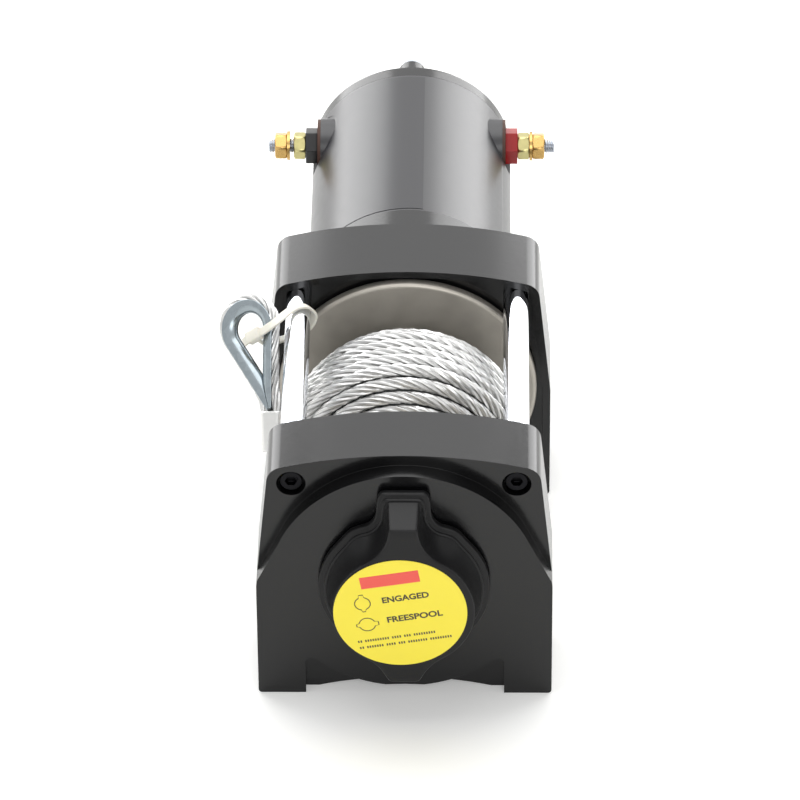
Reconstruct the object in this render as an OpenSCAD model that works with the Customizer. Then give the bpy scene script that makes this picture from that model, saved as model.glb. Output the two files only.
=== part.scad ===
// Electric recovery winch with a planetary gearbox, a rope drum, a motor and a turning clutch knob.
// Lengths are in millimetres. The drum axis runs along Y at axis_z over the mounting face, z = 0.
// The clutch end is at minus Y, the motor end at plus Y, and the origin is the bolt pattern's centre.

/* [Brackets] */
// Height of the drum axis over the mounting face
axis_z = 55; // [53:0.5:60]
// Height of the brackets' middle over the tie rods
rod_cover = 13.5; // [11:0.5:16]
// Width across the mounting feet
foot_w = 114; // [110:1:122]
// Height where the sides start to lean inwards
lean_z = 52.5; // [44:0.5:58]
// Width of the brackets outside the tie rods, at each top corner
side_cover = 8.9; // [8:0.1:11]
// Radius of the domed top edge
crown_r = 190; // [150:5:260]
// Radius of the top corners
corner_r = 7; // [3:0.5:9]
// Radius of the outer corners of the feet
foot_corner_r = 1.5; // [0.5:0.5:3]
// Clear width between the raised feet
foot_gap_w = 77; // [70:1:84]
// Rise of the arch between the feet
arch_h = 4.3; // [1:0.1:7]
// Thickness of the gear housing along the axis
housing_t = 35; // [34:0.5:36]
// Distance of the mounting bolts behind the housing's front face
housing_bolt = 14.5; // [13.5:0.5:16]
// Thickness of the motor bracket along the axis
bracket_t = 32.6; // [31:0.2:36]
// Distance of the mounting bolts behind the motor bracket's inner face
bracket_bolt = 12.8; // [12:0.2:14]
// Depth of the hood that the motor bracket draws over the drum's flange
hood_t = 3; // [2:0.2:4]
// Wall of that hood
hood_wall = 3; // [2.6:0.2:3.2]
// Radius of the raised round face on the gear housing
face_r = 51.5; // [49:0.5:53]
// Depth of the recess at the housing's upper corners
recess_t = 7; // [4:0.5:8]
// Depth of the pocket between the housing's feet
pocket_t = 4.5; // [2:0.5:6]

/* [Mounting] */
// Spacing of the mounting bolts across the winch
bolt_dx = 76.2; // [72:0.1:84]
// Spacing of the mounting bolts along the axis
bolt_dy = 124; // [122:0.5:134]
// Radius of the mounting bolt holes
bolt_hole_r = 4.3; // [4:0.1:5.3]
// Width across the flats of the captive nuts
nut_af = 13; // [11:0.5:15]
// Height of the captive nuts
nut_t = 6.5; // [5:0.5:8]
// Height of the captive nuts over the mounting face
nut_z = 8; // [6:0.5:12]

/* [Tie rods] */
// Radius of the tie rods
rod_r = 5; // [4:0.25:6]
// Clear gap between the tie rods and the drum's flanges
rod_gap = 3.96; // [3:0.02:5]
// Angle of the tie rods round the drum, from level
rod_angle = 44.66; // [43:0.02:46]
// Depth of the rods' sockets in the brackets
rod_socket = 4; // [2:0.5:8]
// Radius of the tie rod screws
screw_r = 2.5; // [2:0.25:3]
// Radius of the socket screws' heads
screw_head_r = 4.25; // [3.8:0.05:4.8]
// Height of the socket screws' heads
screw_head_t = 5; // [3:0.5:6]
// Length of the tie rod screws under the head
screw_l = 35; // [30:1:40]
// Radius of the counterbores for the heads
counterbore_r = 5.6; // [5.2:0.1:6.2]
// Depth of a head under the face around it
head_sink = 1.5; // [0:0.1:2]
// Width across the flats of the hex sockets in the heads
key_af = 4; // [3:0.5:5]
// Depth of the hex sockets in the heads
key_t = 2.5; // [1.5:0.5:3]

/* [Drum] */
// Radius of the drum's flanges
flange_r = 51.5; // [49:0.5:53]
// Thickness of the drum's flanges
flange_t = 5; // [3:0.1:6]
// Radius of the rounded rim of the flanges
rim_r = 1.6; // [0.5:0.1:2]
// Radius of the drum's barrel
barrel_r = 20; // [18:0.5:21]
// Radius of the bore through the drum
drum_bore_r = 13.5; // [12:0.5:15]
// Gap between a flange and its bracket
flange_gap = 0.5; // [0.3:0.1:1]
// Radius of the drum's journal in the motor bracket
journal_r = 17; // [15.5:0.5:18]
// Length of the journal in its bush
journal_l = 7; // [5:0.5:10]
// Wall of the journal bush
bush_wall = 3; // [2:0.5:5]

/* [Wire rope] */
// Diameter of the wire rope
rope_d = 4.8; // [4:0.1:5]
// Step from one turn of the outer layer to the next, along the layer
rope_step = 5.45; // [5.4:0.05:6]
// Radius over the highest turns
mound_r = 46.9; // [44:0.1:49]
// Radius over the lowest turns
low_r = 26.5; // [26:0.1:30]
// Gap between the core and the turns on it
core_gap = 0.25; // [0.15:0.05:0.5]

/* [Hook end] */
// Radius of the rope's centre line round the thimble's crown
eye_r = 10; // [9.5:0.25:11]
// Thickness of the thimble's wall
thimble_wall = 1.4; // [1:0.1:1.8]
// Thickness of the thimble's two flanges
thimble_flange_t = 0.7; // [0.5:0.1:0.9]
// Height of the thimble's flanges beside the rope's centre line
thimble_lip = 0.6; // [0:0.1:1.5]
// Length of the pressed ferrule
ferrule_l = 16; // [12:1:18]
// Thickness of the pressed ferrule
ferrule_t = 7; // [6.5:0.1:9]
// Gap between the two rope legs in the ferrule
leg_gap = 0.5; // [0.4:0.1:0.8]
// Width of the cable tie's strap
tie_w = 3.6; // [3:0.1:4.8]
// Thickness of the cable tie's strap
tie_t = 1.2; // [1:0.1:1.6]

/* [Gearbox] */
// Gear module
gear_m = 1.25; // [1.15:0.05:1.25]
// Width of the first stage's planet gears
stage_1_w = 5.5; // [4.5:0.1:5.5]
// Width of the second stage's planet gears
stage_2_w = 6; // [5:0.1:6]
// Width of the third stage's planet gears
stage_3_w = 7; // [5.5:0.1:7]
// Thickness of the first planet carrier's plate
plate_1_t = 1.5; // [1.2:0.1:1.5]
// Thickness of the second planet carrier's plate
plate_2_t = 1.6; // [1.2:0.1:1.6]
// Thickness of the third planet carrier's plate
plate_3_t = 4.6; // [4.3:0.1:4.8]
// Axial gap between neighbouring gearbox pieces
stage_gap = 0.3; // [0.2:0.05:0.35]
// Radius of the planet carriers' plates
plate_r = 27; // [25.5:0.25:28]
// Radius of the planet gears' pins
pin_r = 3; // [2.5:0.25:3.5]
// Thickness of the housing's front wall
front_wall = 4.3; // [3:0.1:4.5]
// Radius of the housing's gear cavity
cavity_r = 41.3; // [40:0.1:42]
// Thickness of the ring gear's front web, which the clutch locks
lock_web_t = 2.2; // [1.5:0.1:2.4]
// Running clearance of the shafts and pins in their bores
run_gap = 0.06; // [0.04:0.01:0.1]
// Play taken off each flank of the gear teeth
flank_play = 0.08; // [0.05:0.01:0.12]

/* [Clutch] */
// Radius of the knob's lip
knob_r = 33; // [31:0.5:35]
// Thickness of the knob's lip
knob_lip_t = 3; // [2:0.25:4]
// Height of the knob over the housing's face, lip included
knob_h = 17.7; // [17:0.1:20]
// Gap between the knob and the housing's face
knob_gap = 0.8; // [0.4:0.1:1.2]
// Radius of the knob's flat front
knob_front_r = 27.2; // [26:0.2:29]
// Bevel of the front's edge
knob_edge = 1.2; // [0.6:0.2:2]
// Radius of the knob's body behind the front
knob_body_r = 30.5; // [29.5:0.25:31.5]
// Wall of the knob's front
knob_wall = 3; // [2:0.25:4]
// Reach of the knob's upper pointer from the axis
pointer_reach = 46; // [42:0.5:48]
// Half width of the knob's upper pointer
pointer_half_w = 10.5; // [8:0.25:12]
// Width of the grip bar on the knob's upper pointer
bar_w = 11.2; // [8:0.2:14]
// Reach of the flat front along that bar
bar_crest = 40; // [36:0.5:42]
// Reach of the knob's lower pointer from the axis
tail_reach = 43; // [40:0.5:48]
// Half width of the knob's lower pointer
tail_half_w = 8; // [5:0.25:9]
// Reach of the flat front along the lower pointer
tail_crest = 34.5; // [32:0.5:38]
// Radius of the flares that widen the front into both pointers
flare_r = 20; // [12:1:24]
// Radius of the fillets between the pointers and the knob
knob_fillet_r = 9; // [5:0.5:12]
// Radius of the housing's boss that the knob turns on
boss_r = 9; // [7:0.25:10]
// Wall of the knob's hub on that boss
hub_wall = 3; // [2.5:0.25:4]
// Radius of the clutch slider
slider_r = 26.4; // [25.5:0.1:26.6]
// Thickness of the clutch slider
slider_t = 4; // [3:0.5:5]
// Stroke of the clutch slider
slider_stroke = 6; // [5:0.25:6]
// Distance of the lock pins from the axis
lock_pin_x = 23.5; // [23:0.1:24]
// Radius of the lock pins
lock_pin_r = 2.4; // [2:0.1:2.5]
// Radius of the sticker on the knob
sticker_r = 25.6; // [24:0.2:27]
// Thickness of the sticker and of the motor's label
film_t = 0.15; // [0.1:0.05:0.3]

/* [Motor] */
// Radius of the motor's can
can_r = 41.2; // [40:0.1:42]
// Wall of the motor's can
can_wall = 3; // [2:0.25:4]
// Length of the motor's can
can_l = 98.3; // [92:0.1:110]
// Length of the round boss that carries the motor
collar_l = 28.6; // [26:0.2:32]
// Step from the can's side out to that boss's side
collar_step = 1.3; // [0.8:0.1:2.8]
// Thickness of the motor's end cap
cap_t = 8; // [7:0.5:12]
// Radius of the end cap's rounded edge
cap_edge_r = 3; // [1:0.5:5]
// Radius of the end cap's bosses for the through bolts
cap_boss_r = 5.6; // [4.5:0.1:6.5]
// Radius of the motor's through bolts
through_r = 2.5; // [2:0.1:2.7]
// Distance of the through bolts' middles from the can's bore
through_in = 2.8; // [2.6:0.1:3.2]
// Radius of the motor shaft in its bearings
shaft_r = 4; // [3.5:0.1:4.5]
// Outer radius of the motor's bearings
bearing_r = 11; // [9:0.5:13]
// Width of the motor's bearings
bearing_w = 7; // [5:0.5:9]
// Air gap between the armature and the magnets
air_gap = 1.2; // [0.8:0.1:2]
// Radius of the commutator
commutator_r = 12; // [10:0.5:14]
// Length of the commutator
commutator_l = 16; // [12:0.5:20]
// Radius of the drive shaft through the drum and the gearbox
drive_r = 3.9; // [3.6:0.1:4]

/* [Terminals] */
// Distance of the terminals from the end cap
terminal_back = 13.7; // [12:0.1:18]
// Height of the terminals over the axis
terminal_z = 15; // [12:0.5:18]
// Radius of the terminal studs
stud_r = 3; // [2.5:0.25:3.2]
// Reach of the terminal studs from the middle plane
stud_reach = 59.6; // [58:0.2:62]
// Radius of the fibre washers on the can
fibre_r = 11; // [9.5:0.25:11.4]
// Thickness of the fibre washers
fibre_t = 1.3; // [1:0.1:2]
// Width across the corners of the hex insulators
insulator_w = 15.4; // [13:0.2:17]
// Thickness of the hex insulators
insulator_t = 5; // [3:0.25:7]
// Width across the flats of the terminal nuts
terminal_af = 10; // [9:0.5:12]
// Thickness of the terminal nuts
terminal_nut_t = 5; // [4:0.25:6]

/* [Hidden] */
over = 1;
clear = 0.3;
seat = 0.02;
circle_n = 96;
small_n = 48;
arc_n = 8;

// Places along the axis
rod_reach = flange_r + rod_gap + rod_r;
rod_x = rod_reach * cos(rod_angle);
rod_z = axis_z + rod_reach * sin(rod_angle);
bracket_h = rod_z + rod_cover;
top_w = 2 * (rod_x + side_cover);
housing_front_y = -bolt_dy / 2 - housing_bolt;
housing_rear_y = housing_front_y + housing_t;
bracket_in_y = bolt_dy / 2 - bracket_bolt;
bracket_floor_y = bracket_in_y + hood_t;
bracket_out_y = bracket_in_y + bracket_t;
flange_near_y = housing_rear_y + flange_gap;
flange_far_y = bracket_floor_y - flange_gap;
drum_mid_y = (flange_near_y + flange_far_y) / 2;
can_front_y = bracket_out_y + collar_l;
cap_y = can_front_y + can_l;
cap_end_y = cap_y + cap_t;
knob_back_y = housing_front_y - knob_gap;
knob_front_y = knob_back_y - knob_h;

// Gear numbers and the places that follow from the module
sun_z = 12;
planet_z = 21;
ring_z = 54;
pressure = 20;
addendum_share = 0.8;
dedendum_share = 1.02;
orbit_r = gear_m * (sun_z + planet_z) / 2;
stage_w = [stage_1_w, stage_2_w, stage_3_w];
plate_t = [plate_1_t, plate_2_t, plate_3_t];
ring_y = housing_front_y + front_wall + stage_gap;
function planet_y(k) = k == 0 ? ring_y + lock_web_t + stage_gap : plate_y(k - 1) + plate_t[k - 1] + stage_gap;
function plate_y(k) = planet_y(k) + stage_w[k] + stage_gap;

// Small sizes of the brackets and of what fastens them
panel_top_z = 74.4;
notch_r = 2.5;
bolt_room = 8;
nut_thread = 0.9;
bracket_web_t = 10.5;
collar_cavity_r = 34;
plate_spigot_t = 3.5;
plate_seat_t = 5;
screw_front_y = housing_front_y + recess_t + head_sink + screw_head_t;
screw_rear_y = bracket_out_y - head_sink - screw_head_t;
bush_end_y = bracket_floor_y + journal_l + clear;
bracket_web_y = bracket_floor_y + bracket_web_t;

// Small sizes of the clutch
clutch_screw_l = 11;
clutch_head_r = 5;
clutch_head_t = 1.4;
lug_r = 1.4;
lug_l = 2.4;
groove_play = 0.3;
groove_steps = 12;
spring_wire_r = 0.8;
spring_turns = 4;
slider_gap = 0.5;
boss_front_y = knob_front_y + knob_wall + run_gap;
clutch_screw_end_y = boss_front_y + clutch_screw_l;
drive_front_y = housing_front_y + front_wall / 4;
hub_r = boss_r + run_gap + hub_wall;
slider_back_y = housing_front_y - slider_gap;
slider_front_y = slider_back_y - slider_t;
lug_y = slider_back_y - slider_t / 2;

// Small sizes of the gearbox, the drum's drive and the brake
lock_bore_r = 19;
lock_slots = 6;
ring_outer_n = 72;
shaft_play = 0.35;
sun_bore_r = drive_r + shaft_play;
bush_front_y = plate_y(2);
key_l = 8;
key_lug_r = 16.5;
key_lug_w = 6;
brake_l = 30;
brake_hub_r = 7;
brake_gap = 0.4;

// Small sizes of the motor
coupling_r = 8;
coupling_l = 26;
coupling_gap = 4;
coupling_y = can_front_y - plate_spigot_t - coupling_gap - coupling_l;
shaft_body_r = 5;
can_in_r = can_r - can_wall;
collar_r = can_r + collar_step;
through_pitch = can_in_r - through_in;
magnet_share = 0.17;
magnet_t = magnet_share * can_r;
magnet_over = 8;
magnet_angle = 64;
armature_front = 16;
armature_y = can_front_y + armature_front;
armature_r = can_in_r - magnet_t - air_gap;
slot_n = 12;
slot_w_share = 0.167;
slot_w = slot_w_share * armature_r;
slot_foot_share = 0.6;
slot_r = slot_foot_share * armature_r;
winding_l = 9;
winding_drop = 4;
winding_r = armature_r - winding_drop;
winding_gap = 9.2;
commutator_back = 7;
commutator_y = cap_y - commutator_l - commutator_back;
armature_l = commutator_y - winding_gap - winding_l - armature_y;
magnet_l = armature_l + magnet_over;
bar_n = 12;
bar_slot_w = 0.6;
cap_boss_t = 3;
cap_spigot_t = 4;
through_head_af = 8;
through_head_t = 4.4;
brush_plate_t = 2.1;
brush_w = 6;
brush_l = 9;
brush_share = 0.6;
holder_wall = 1;
holder_gap = 3;
holder_room = 4.7;
holder_end_r = can_in_r - holder_room;
brush_h = brush_share * (holder_end_r - commutator_r);
brush_y = cap_y - terminal_back;
brush_wire_r = 0.5;

// Small sizes of the terminals
terminal_y = cap_y - terminal_back;
terminal_height = axis_z + terminal_z;
pad_depth = 3.4;
pad_x = can_r - pad_depth;
pad_r = 11.4;
stud_inside = 10.2;
stud_in_x = can_r - stud_inside;
sleeve_r = 4.6;
terminal_tip = 1.2;

// Places of the label and of the sticker, which was stuck on off the middle
sticker_margin = 0.3;
label_front = 2.9;
label_back = 1.2;
label_front_y = can_front_y + label_front;
label_back_y = cap_y - label_back;
label_right = 7.7;
label_left = 101;

// Places along the terminal studs and the wall behind the shaft
cap_wall = 1.8;
insulator_x = pad_x + fibre_t;
nut_x = insulator_x + insulator_t;
outer_nut_x = nut_x + terminal_nut_t;
left_gap = 1.6;
thin_washer_t = 1.2;

// Shape of the mound of turns, as shares of half the drum and of its height
rise_share = 0.72;
crest_share = -0.01;
fall_share = 0.45;
fall_length_share = 0.733;
slope_share = 0.14;
fall_depth_share = 1.03;
rope_r = rope_d / 2;

// Small sizes of the hook end
thimble_in_r = eye_r - rope_r - clear / 2 - thimble_wall;
thimble_half_w = rope_r + clear / 2 + thimble_flange_t;
thimble_foot = 5.5;
tie_head = [7, 6, 5];
tie_tail_l = 8;
tie_play = 0.3;
tie_head_share = 0.75;
leg_rise_share = 0.6;

// Colours, one for each material
black_paint = [0.07, 0.07, 0.08];
black_plastic = [0.13, 0.13, 0.14];
bright_steel = [0.78, 0.79, 0.8];
bare_steel = [0.5, 0.49, 0.47];
gear_steel = [0.6, 0.6, 0.62];
brass_colour = [0.8, 0.66, 0.3];
nylon = [0.9, 0.88, 0.8];

// Vectors
function unit(v) = v / norm(v);
function along(p, q, share) = p + share * (q - p);
function smooth(t) = (1 - cos(180 * min(1, max(0, t)))) / 2;

// Points that round the corner b of an outline by the radius r
function rounded(a, b, c, r, steps) =
    let (
        u = unit(a - b),
        v = unit(c - b),
        half = acos(u * v) / 2,
        start = b + u * r / tan(half),
        end = b + v * r / tan(half),
        middle = b + unit(u + v) * r / sin(half),
        from = atan2(start[1] - middle[1], start[0] - middle[0]),
        to = atan2(end[1] - middle[1], end[0] - middle[0]),
        sweep = to - from > 180 ? to - from - 360 : to - from < -180 ? to - from + 360 : to - from
    )
    [for (i = [0 : steps]) middle + r * [cos(from + sweep * i / steps), sin(from + sweep * i / steps)]];

// Outline whose corners, given as points and radii, are rounded where the radius isn't zero
function outline(points, radii) =
    let (n = len(points))
    [
        for (i = [0 : n - 1])
            each radii[i] == 0
                ? [points[i]]
                : rounded(points[(i + n - 1) % n], points[i], points[(i + 1) % n], radii[i], arc_n)
    ];

// Shapes laid out along the axis
module slab(y0, y1) {
    translate([0, y1, 0])
        rotate([90, 0, 0])
            linear_extrude(height = y1 - y0)
                children();
}

module round_y(y0, y1, r, x = 0, z = axis_z, sides = circle_n) {
    translate([x, y1, z])
        rotate([90, 0, 0])
            cylinder(h = y1 - y0, r = r, $fn = sides);
}

module ring_of(y0, y1, r_in, r_out) {
    difference() {
        round_y(y0, y1, r_out);
        round_y(y0 - over, y1 + over, r_in);
    }
}

module round_x(x0, x1, r, y, z, sides = small_n) {
    translate([x0, y, z])
        rotate([0, 90, 0])
            cylinder(h = x1 - x0, r = r, $fn = sides);
}

// A profile of [radius, place along the axis] points turned about the drum's axis
module lathe(points) {
    translate([0, 0, axis_z])
        rotate([-90, 0, 0])
            rotate_extrude($fn = circle_n)
                polygon(points);
}

module both_sides() {
    children();
    mirror([1, 0, 0])
        children();
}

// Swept tubes: one closed polyhedron round a line of points
function tangent(p, i) =
    unit(p[min(i + 1, len(p) - 1)] - p[max(i - 1, 0)]);
function square_to(v, t) = unit(v - (v * t) * t);
function normals(p, first) = [
    for (i = 0, n = square_to(first, tangent(p, 0));
        i < len(p);
        i = i + 1, n = square_to(n, tangent(p, min(i, len(p) - 1))))
        n
];
function tube_points(p, r, sides, first) =
    let (n = normals(p, first))
    [
        for (i = [0 : len(p) - 1])
            let (t = tangent(p, i), m = n[i], b = cross(t, m))
            for (k = [0 : sides - 1])
                p[i] + r * (cos(360 * k / sides) * m + sin(360 * k / sides) * b)
    ];
function tube_faces(rings, sides) = [
    for (k = [1 : sides - 2])
        [0, k, k + 1],
    for (i = [0 : rings - 2])
        for (k = [0 : sides - 1])
            each [
                [i * sides + k, (i + 1) * sides + k, (i + 1) * sides + (k + 1) % sides],
                [i * sides + k, (i + 1) * sides + (k + 1) % sides, i * sides + (k + 1) % sides]
            ],
    for (k = [1 : sides - 2])
        [(rings - 1) * sides, (rings - 1) * sides + k + 1, (rings - 1) * sides + k]
];

module tube(p, r, sides, first) {
    polyhedron(
        points = tube_points(p, r, sides, first),
        faces = tube_faces(len(p), sides),
        convexity = 10
    );
}

// Least distance between turns that lie next to each other, less the tube's thickness
function least_gap(p, d, turn) =
    min([
        for (i = [0 : len(p) - 1])
            let (last = min(len(p) - 1, i + turn + turn / 2), first = i + turn / 2)
            if (first <= last)
                min([for (j = [first : last]) norm(p[i] - p[j])])
    ]) - d;

// Gear teeth as flat facets, so that meshed pairs are compared exactly
function involute(a) = tan(a) * 180 / PI - a;
function tooth_half(r, pitch_r, half) =
    half + involute(pressure) - involute(acos(min(1, pitch_r * cos(pressure) / r)));
function gear_outline(teeth, below, above, play, turn = 0) =
    let (
        pitch_r = gear_m * teeth / 2,
        half = 90 / teeth - play / pitch_r * 180 / PI,
        root = pitch_r - below,
        tip = pitch_r + above,
        base = max(root, pitch_r * cos(pressure)),
        radii = [root, base, along(base, tip, 0.3), along(base, tip, 0.65), tip]
    )
    [
        for (i = [0 : teeth - 1])
            let (middle = turn + 360 * i / teeth)
            each concat(
                [
                    for (r = radii)
                        let (a = middle - tooth_half(max(r, base), pitch_r, half))
                        r * [cos(a), sin(a)]
                ],
                [
                    for (k = [len(radii) - 1 : -1 : 0])
                        let (r = radii[k], a = middle + tooth_half(max(r, base), pitch_r, half))
                        r * [cos(a), sin(a)]
                ]
            )
    ];
function polygon_round(r, sides, centre = [0, 0]) = [
    for (k = [0 : sides - 1])
        centre + r / cos(180 / sides) * [cos(360 * k / sides), sin(360 * k / sides)]
];

module external_gear(y0, y1, teeth, bore, turn) {
    translate([0, 0, axis_z])
        slab(y0, y1)
            difference() {
                polygon(gear_outline(teeth, dedendum_share * gear_m, addendum_share * gear_m, flank_play, turn));
                polygon(polygon_round(bore, small_n));
            }
}

// Brackets
bracket_corner_z = bracket_h - top_w * top_w / 8 / crown_r;
crown_shares = [0.75, 0.6, 0.45, 0.3, 0.15, 0, -0.15, -0.3, -0.45, -0.6, -0.75];
arch_shares = [-0.9, -0.75, -0.5, -0.25, 0, 0.25, 0.5, 0.75, 0.9];
arch_half_w = bolt_dx / 2 - bolt_hole_r - clear;
bracket_points = concat(
    [[foot_w / 2, 0], [foot_w / 2, lean_z], [top_w / 2, bracket_corner_z]],
    [for (s = crown_shares) [s * top_w / 2, bracket_h - pow(s * top_w / 2, 2) / 2 / crown_r]],
    [[-top_w / 2, bracket_corner_z], [-foot_w / 2, lean_z], [-foot_w / 2, 0], [-arch_half_w, 0]],
    [for (s = arch_shares) [s * arch_half_w, arch_h * (1 - s * s)]],
    [[arch_half_w, 0]]
);
bracket_radii = concat(
    [foot_corner_r, 0, corner_r],
    [for (s = crown_shares) 0],
    [corner_r, 0, foot_corner_r, 0],
    [for (s = arch_shares) 0],
    [0]
);

module bracket_2d() {
    polygon(outline(bracket_points, bracket_radii));
}

// The hollow of the motor bracket's hood: open between the feet, where the flange reaches lowest
hood_foot_z = nut_z + nut_t;
hood_points = concat(
    [[foot_gap_w / 2, -over], [foot_gap_w / 2, hood_foot_z], [foot_w / 2 - hood_wall, hood_foot_z]],
    [[foot_w / 2 - hood_wall, lean_z], [top_w / 2 - hood_wall, bracket_corner_z - hood_wall]],
    [for (s = crown_shares) [s * top_w / 2, bracket_h - hood_wall - pow(s * top_w / 2, 2) / 2 / crown_r]],
    [[hood_wall - top_w / 2, bracket_corner_z - hood_wall], [hood_wall - foot_w / 2, lean_z]],
    [[hood_wall - foot_w / 2, hood_foot_z], [-foot_gap_w / 2, hood_foot_z], [-foot_gap_w / 2, -over]]
);
hood_radii = concat(
    [0, 0, 0, 0, hood_wall / 2],
    [for (s = crown_shares) 0],
    [hood_wall / 2, 0, 0, 0, 0]
);

module hood_2d() {
    polygon(outline(hood_points, hood_radii));
}

module face_2d() {
    translate([0, axis_z])
        circle(r = face_r, $fn = circle_n);
}

module raised_2d() {
    face_2d();
    both_sides()
        polygon([
            [sqrt(face_r * face_r - pow(panel_top_z - axis_z, 2)), panel_top_z],
            [foot_w / 2 + over, lean_z],
            [foot_w / 2 + over, -over],
            [foot_gap_w / 2, -over],
            [foot_gap_w / 2, axis_z - sqrt(face_r * face_r - foot_gap_w * foot_gap_w / 4)]
        ]);
}

// The pocket between the feet, whose upper corners are rounded
module pocket_2d() {
    c = [foot_gap_w / 2 - notch_r, axis_z - sqrt(pow(face_r + notch_r, 2) - pow(foot_gap_w / 2 - notch_r, 2))];
    touch = along([0, axis_z], c, face_r / (face_r + notch_r));
    difference() {
        translate([-foot_gap_w / 2, -over])
            square([foot_gap_w, axis_z]);
        face_2d();
        both_sides()
            difference() {
                polygon([c, touch, [foot_gap_w / 2, touch[1] + notch_r * 2], [foot_gap_w / 2 + over, c[1]]]);
                translate(c)
                    circle(r = notch_r, $fn = small_n);
            }
    }
}

// Holes that both brackets share: y_in is the face that the rods stand on, out is the way out of it
module bracket_holes(y_in, out, face_y) {
    head_y = face_y - out * (head_sink + screw_head_t);
    both_sides() {
        round_y(min(y_in - over * out, y_in + rod_socket * out), max(y_in - over * out, y_in + rod_socket * out),
            rod_r + seat, rod_x, rod_z);
        round_y(min(y_in, face_y + over * out), max(y_in, face_y + over * out), screw_r + seat, rod_x, rod_z);
        round_y(
            min(head_y, face_y + over * out + recess_t * out),
            max(head_y, face_y + over * out + recess_t * out),
            counterbore_r, rod_x, rod_z);
        translate([bolt_dx / 2, out * bolt_dy / 2, -over])
            cylinder(h = over + nut_z + nut_t + bolt_room, r = bolt_hole_r, $fn = small_n);
        nut_pocket(out < 0 ? housing_rear_y : bracket_in_y, out);
    }
}

module nut_pocket(y_in, out) {
    half_w = nut_af / 2 + seat;
    depth = abs(out * bolt_dy / 2 - y_in) + nut_af / sqrt(3) + clear + over;
    translate([bolt_dx / 2 - half_w, out > 0 ? y_in - over : y_in + over - depth, nut_z])
        cube([2 * half_w, depth, nut_t + clear]);
}

module gear_housing() {
    color(black_paint)
        difference() {
            union() {
                slab(housing_front_y, housing_rear_y)
                    bracket_2d();
                round_y(boss_front_y, housing_front_y + front_wall / 2, boss_r);
            }
            slab(housing_front_y - over, housing_front_y + recess_t)
                difference() {
                    translate([-foot_w / 2 - over, lean_z])
                        square([foot_w + 2 * over, bracket_h]);
                    raised_2d();
                }
            slab(housing_front_y - over, housing_front_y + pocket_t)
                pocket_2d();
            round_y(housing_front_y + front_wall, housing_rear_y + over, cavity_r);
            round_y(drive_front_y - clear, housing_front_y + front_wall + over, drive_r + run_gap);
            round_y(boss_front_y - over, clutch_screw_end_y, screw_r + seat, sides = small_n);
            both_sides()
                round_y(housing_front_y - over, housing_front_y + front_wall + over, lock_pin_r + run_gap,
                    lock_pin_x, sides = small_n);
            bracket_holes(housing_rear_y, -1, housing_front_y + recess_t);
        }
}

module motor_bracket() {
    color(black_paint)
        difference() {
            union() {
                slab(bracket_in_y, bracket_out_y)
                    bracket_2d();
                round_y(bracket_out_y - over, can_front_y, collar_r);
            }
            slab(bracket_in_y - over, bracket_floor_y)
                hood_2d();
            round_y(bracket_floor_y - over, bush_end_y, journal_r + bush_wall + seat);
            round_y(bush_end_y - over, bracket_web_y + over, drum_bore_r);
            round_y(bracket_web_y, can_front_y - plate_spigot_t, collar_cavity_r);
            round_y(can_front_y - plate_spigot_t - over, can_front_y + over, can_in_r);
            bracket_holes(bracket_floor_y, 1, bracket_out_y);
        }
}

module tie_rods() {
    color(bright_steel)
        for (side = [-1, 1])
            difference() {
                round_y(housing_rear_y - rod_socket + seat, bracket_floor_y + rod_socket - seat, rod_r,
                    side * rod_x, rod_z);
                round_y(housing_rear_y - rod_socket, screw_front_y + screw_l + clear, screw_r + seat,
                    side * rod_x, rod_z, small_n);
                round_y(screw_rear_y - screw_l - clear, bracket_floor_y + rod_socket, screw_r + seat,
                    side * rod_x, rod_z, small_n);
            }
}

// A socket screw along Y: its head's underside is at y and it points the way given
module socket_screw(y, way, x, z) {
    head_y = y - way * screw_head_t;
    difference() {
        union() {
            round_y(min(y, head_y), max(y, head_y), screw_head_r, x, z, small_n);
            round_y(min(y - way * over, y + way * screw_l), max(y - way * over, y + way * screw_l),
                screw_r, x, z, small_n);
        }
        translate([x, head_y, z])
            rotate([90, 0, 0])
                cylinder(h = 2 * key_t, r = key_af / sqrt(3), center = true, $fn = 6);
    }
}

module tie_rod_screws() {
    color(black_plastic)
        for (side = [-1, 1]) {
            socket_screw(screw_front_y, 1, side * rod_x, rod_z);
            socket_screw(screw_rear_y, -1, side * rod_x, rod_z);
        }
}

module mounting_nuts() {
    color(bright_steel)
        for (x = [-1, 1], y = [-1, 1])
            translate([x * bolt_dx / 2, y * bolt_dy / 2, nut_z])
                rotate(30)
                    difference() {
                        cylinder(h = nut_t, r = nut_af / sqrt(3), $fn = 6);
                        translate([0, 0, -over])
                            cylinder(h = nut_t + 2 * over, r = bolt_hole_r - nut_thread, $fn = small_n);
                    }
}

// Gearbox
module ring_gear() {
    bore = polygon_round(lock_bore_r, small_n);
    teeth = gear_outline(ring_z, addendum_share * gear_m, dedendum_share * gear_m, -flank_play, 90);
    color(gear_steel)
        translate([0, 0, axis_z])
            difference() {
                slab(ring_y, bush_front_y)
                    polygon(polygon_round((cavity_r - stage_gap / 2) * cos(180 / ring_outer_n), ring_outer_n));
                slab(ring_y + lock_web_t, bush_front_y + over)
                    polygon(teeth);
                slab(ring_y - over, ring_y + lock_web_t + over)
                    polygon(bore);
                slab(ring_y - over, ring_y + lock_web_t + over)
                    for (a = [0 : 360 / lock_slots : 359])
                        polygon(polygon_round(lock_pin_r + clear, 16, lock_pin_x * [cos(a), sin(a)]));
            }
}

module planet_gear(k, place) {
    a = 90 + 120 * place;
    color(gear_steel)
        translate([orbit_r * cos(a), 0, orbit_r * sin(a)])
            external_gear(planet_y(k), planet_y(k) + stage_w[k], planet_z, pin_r + run_gap, a);
}

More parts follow.
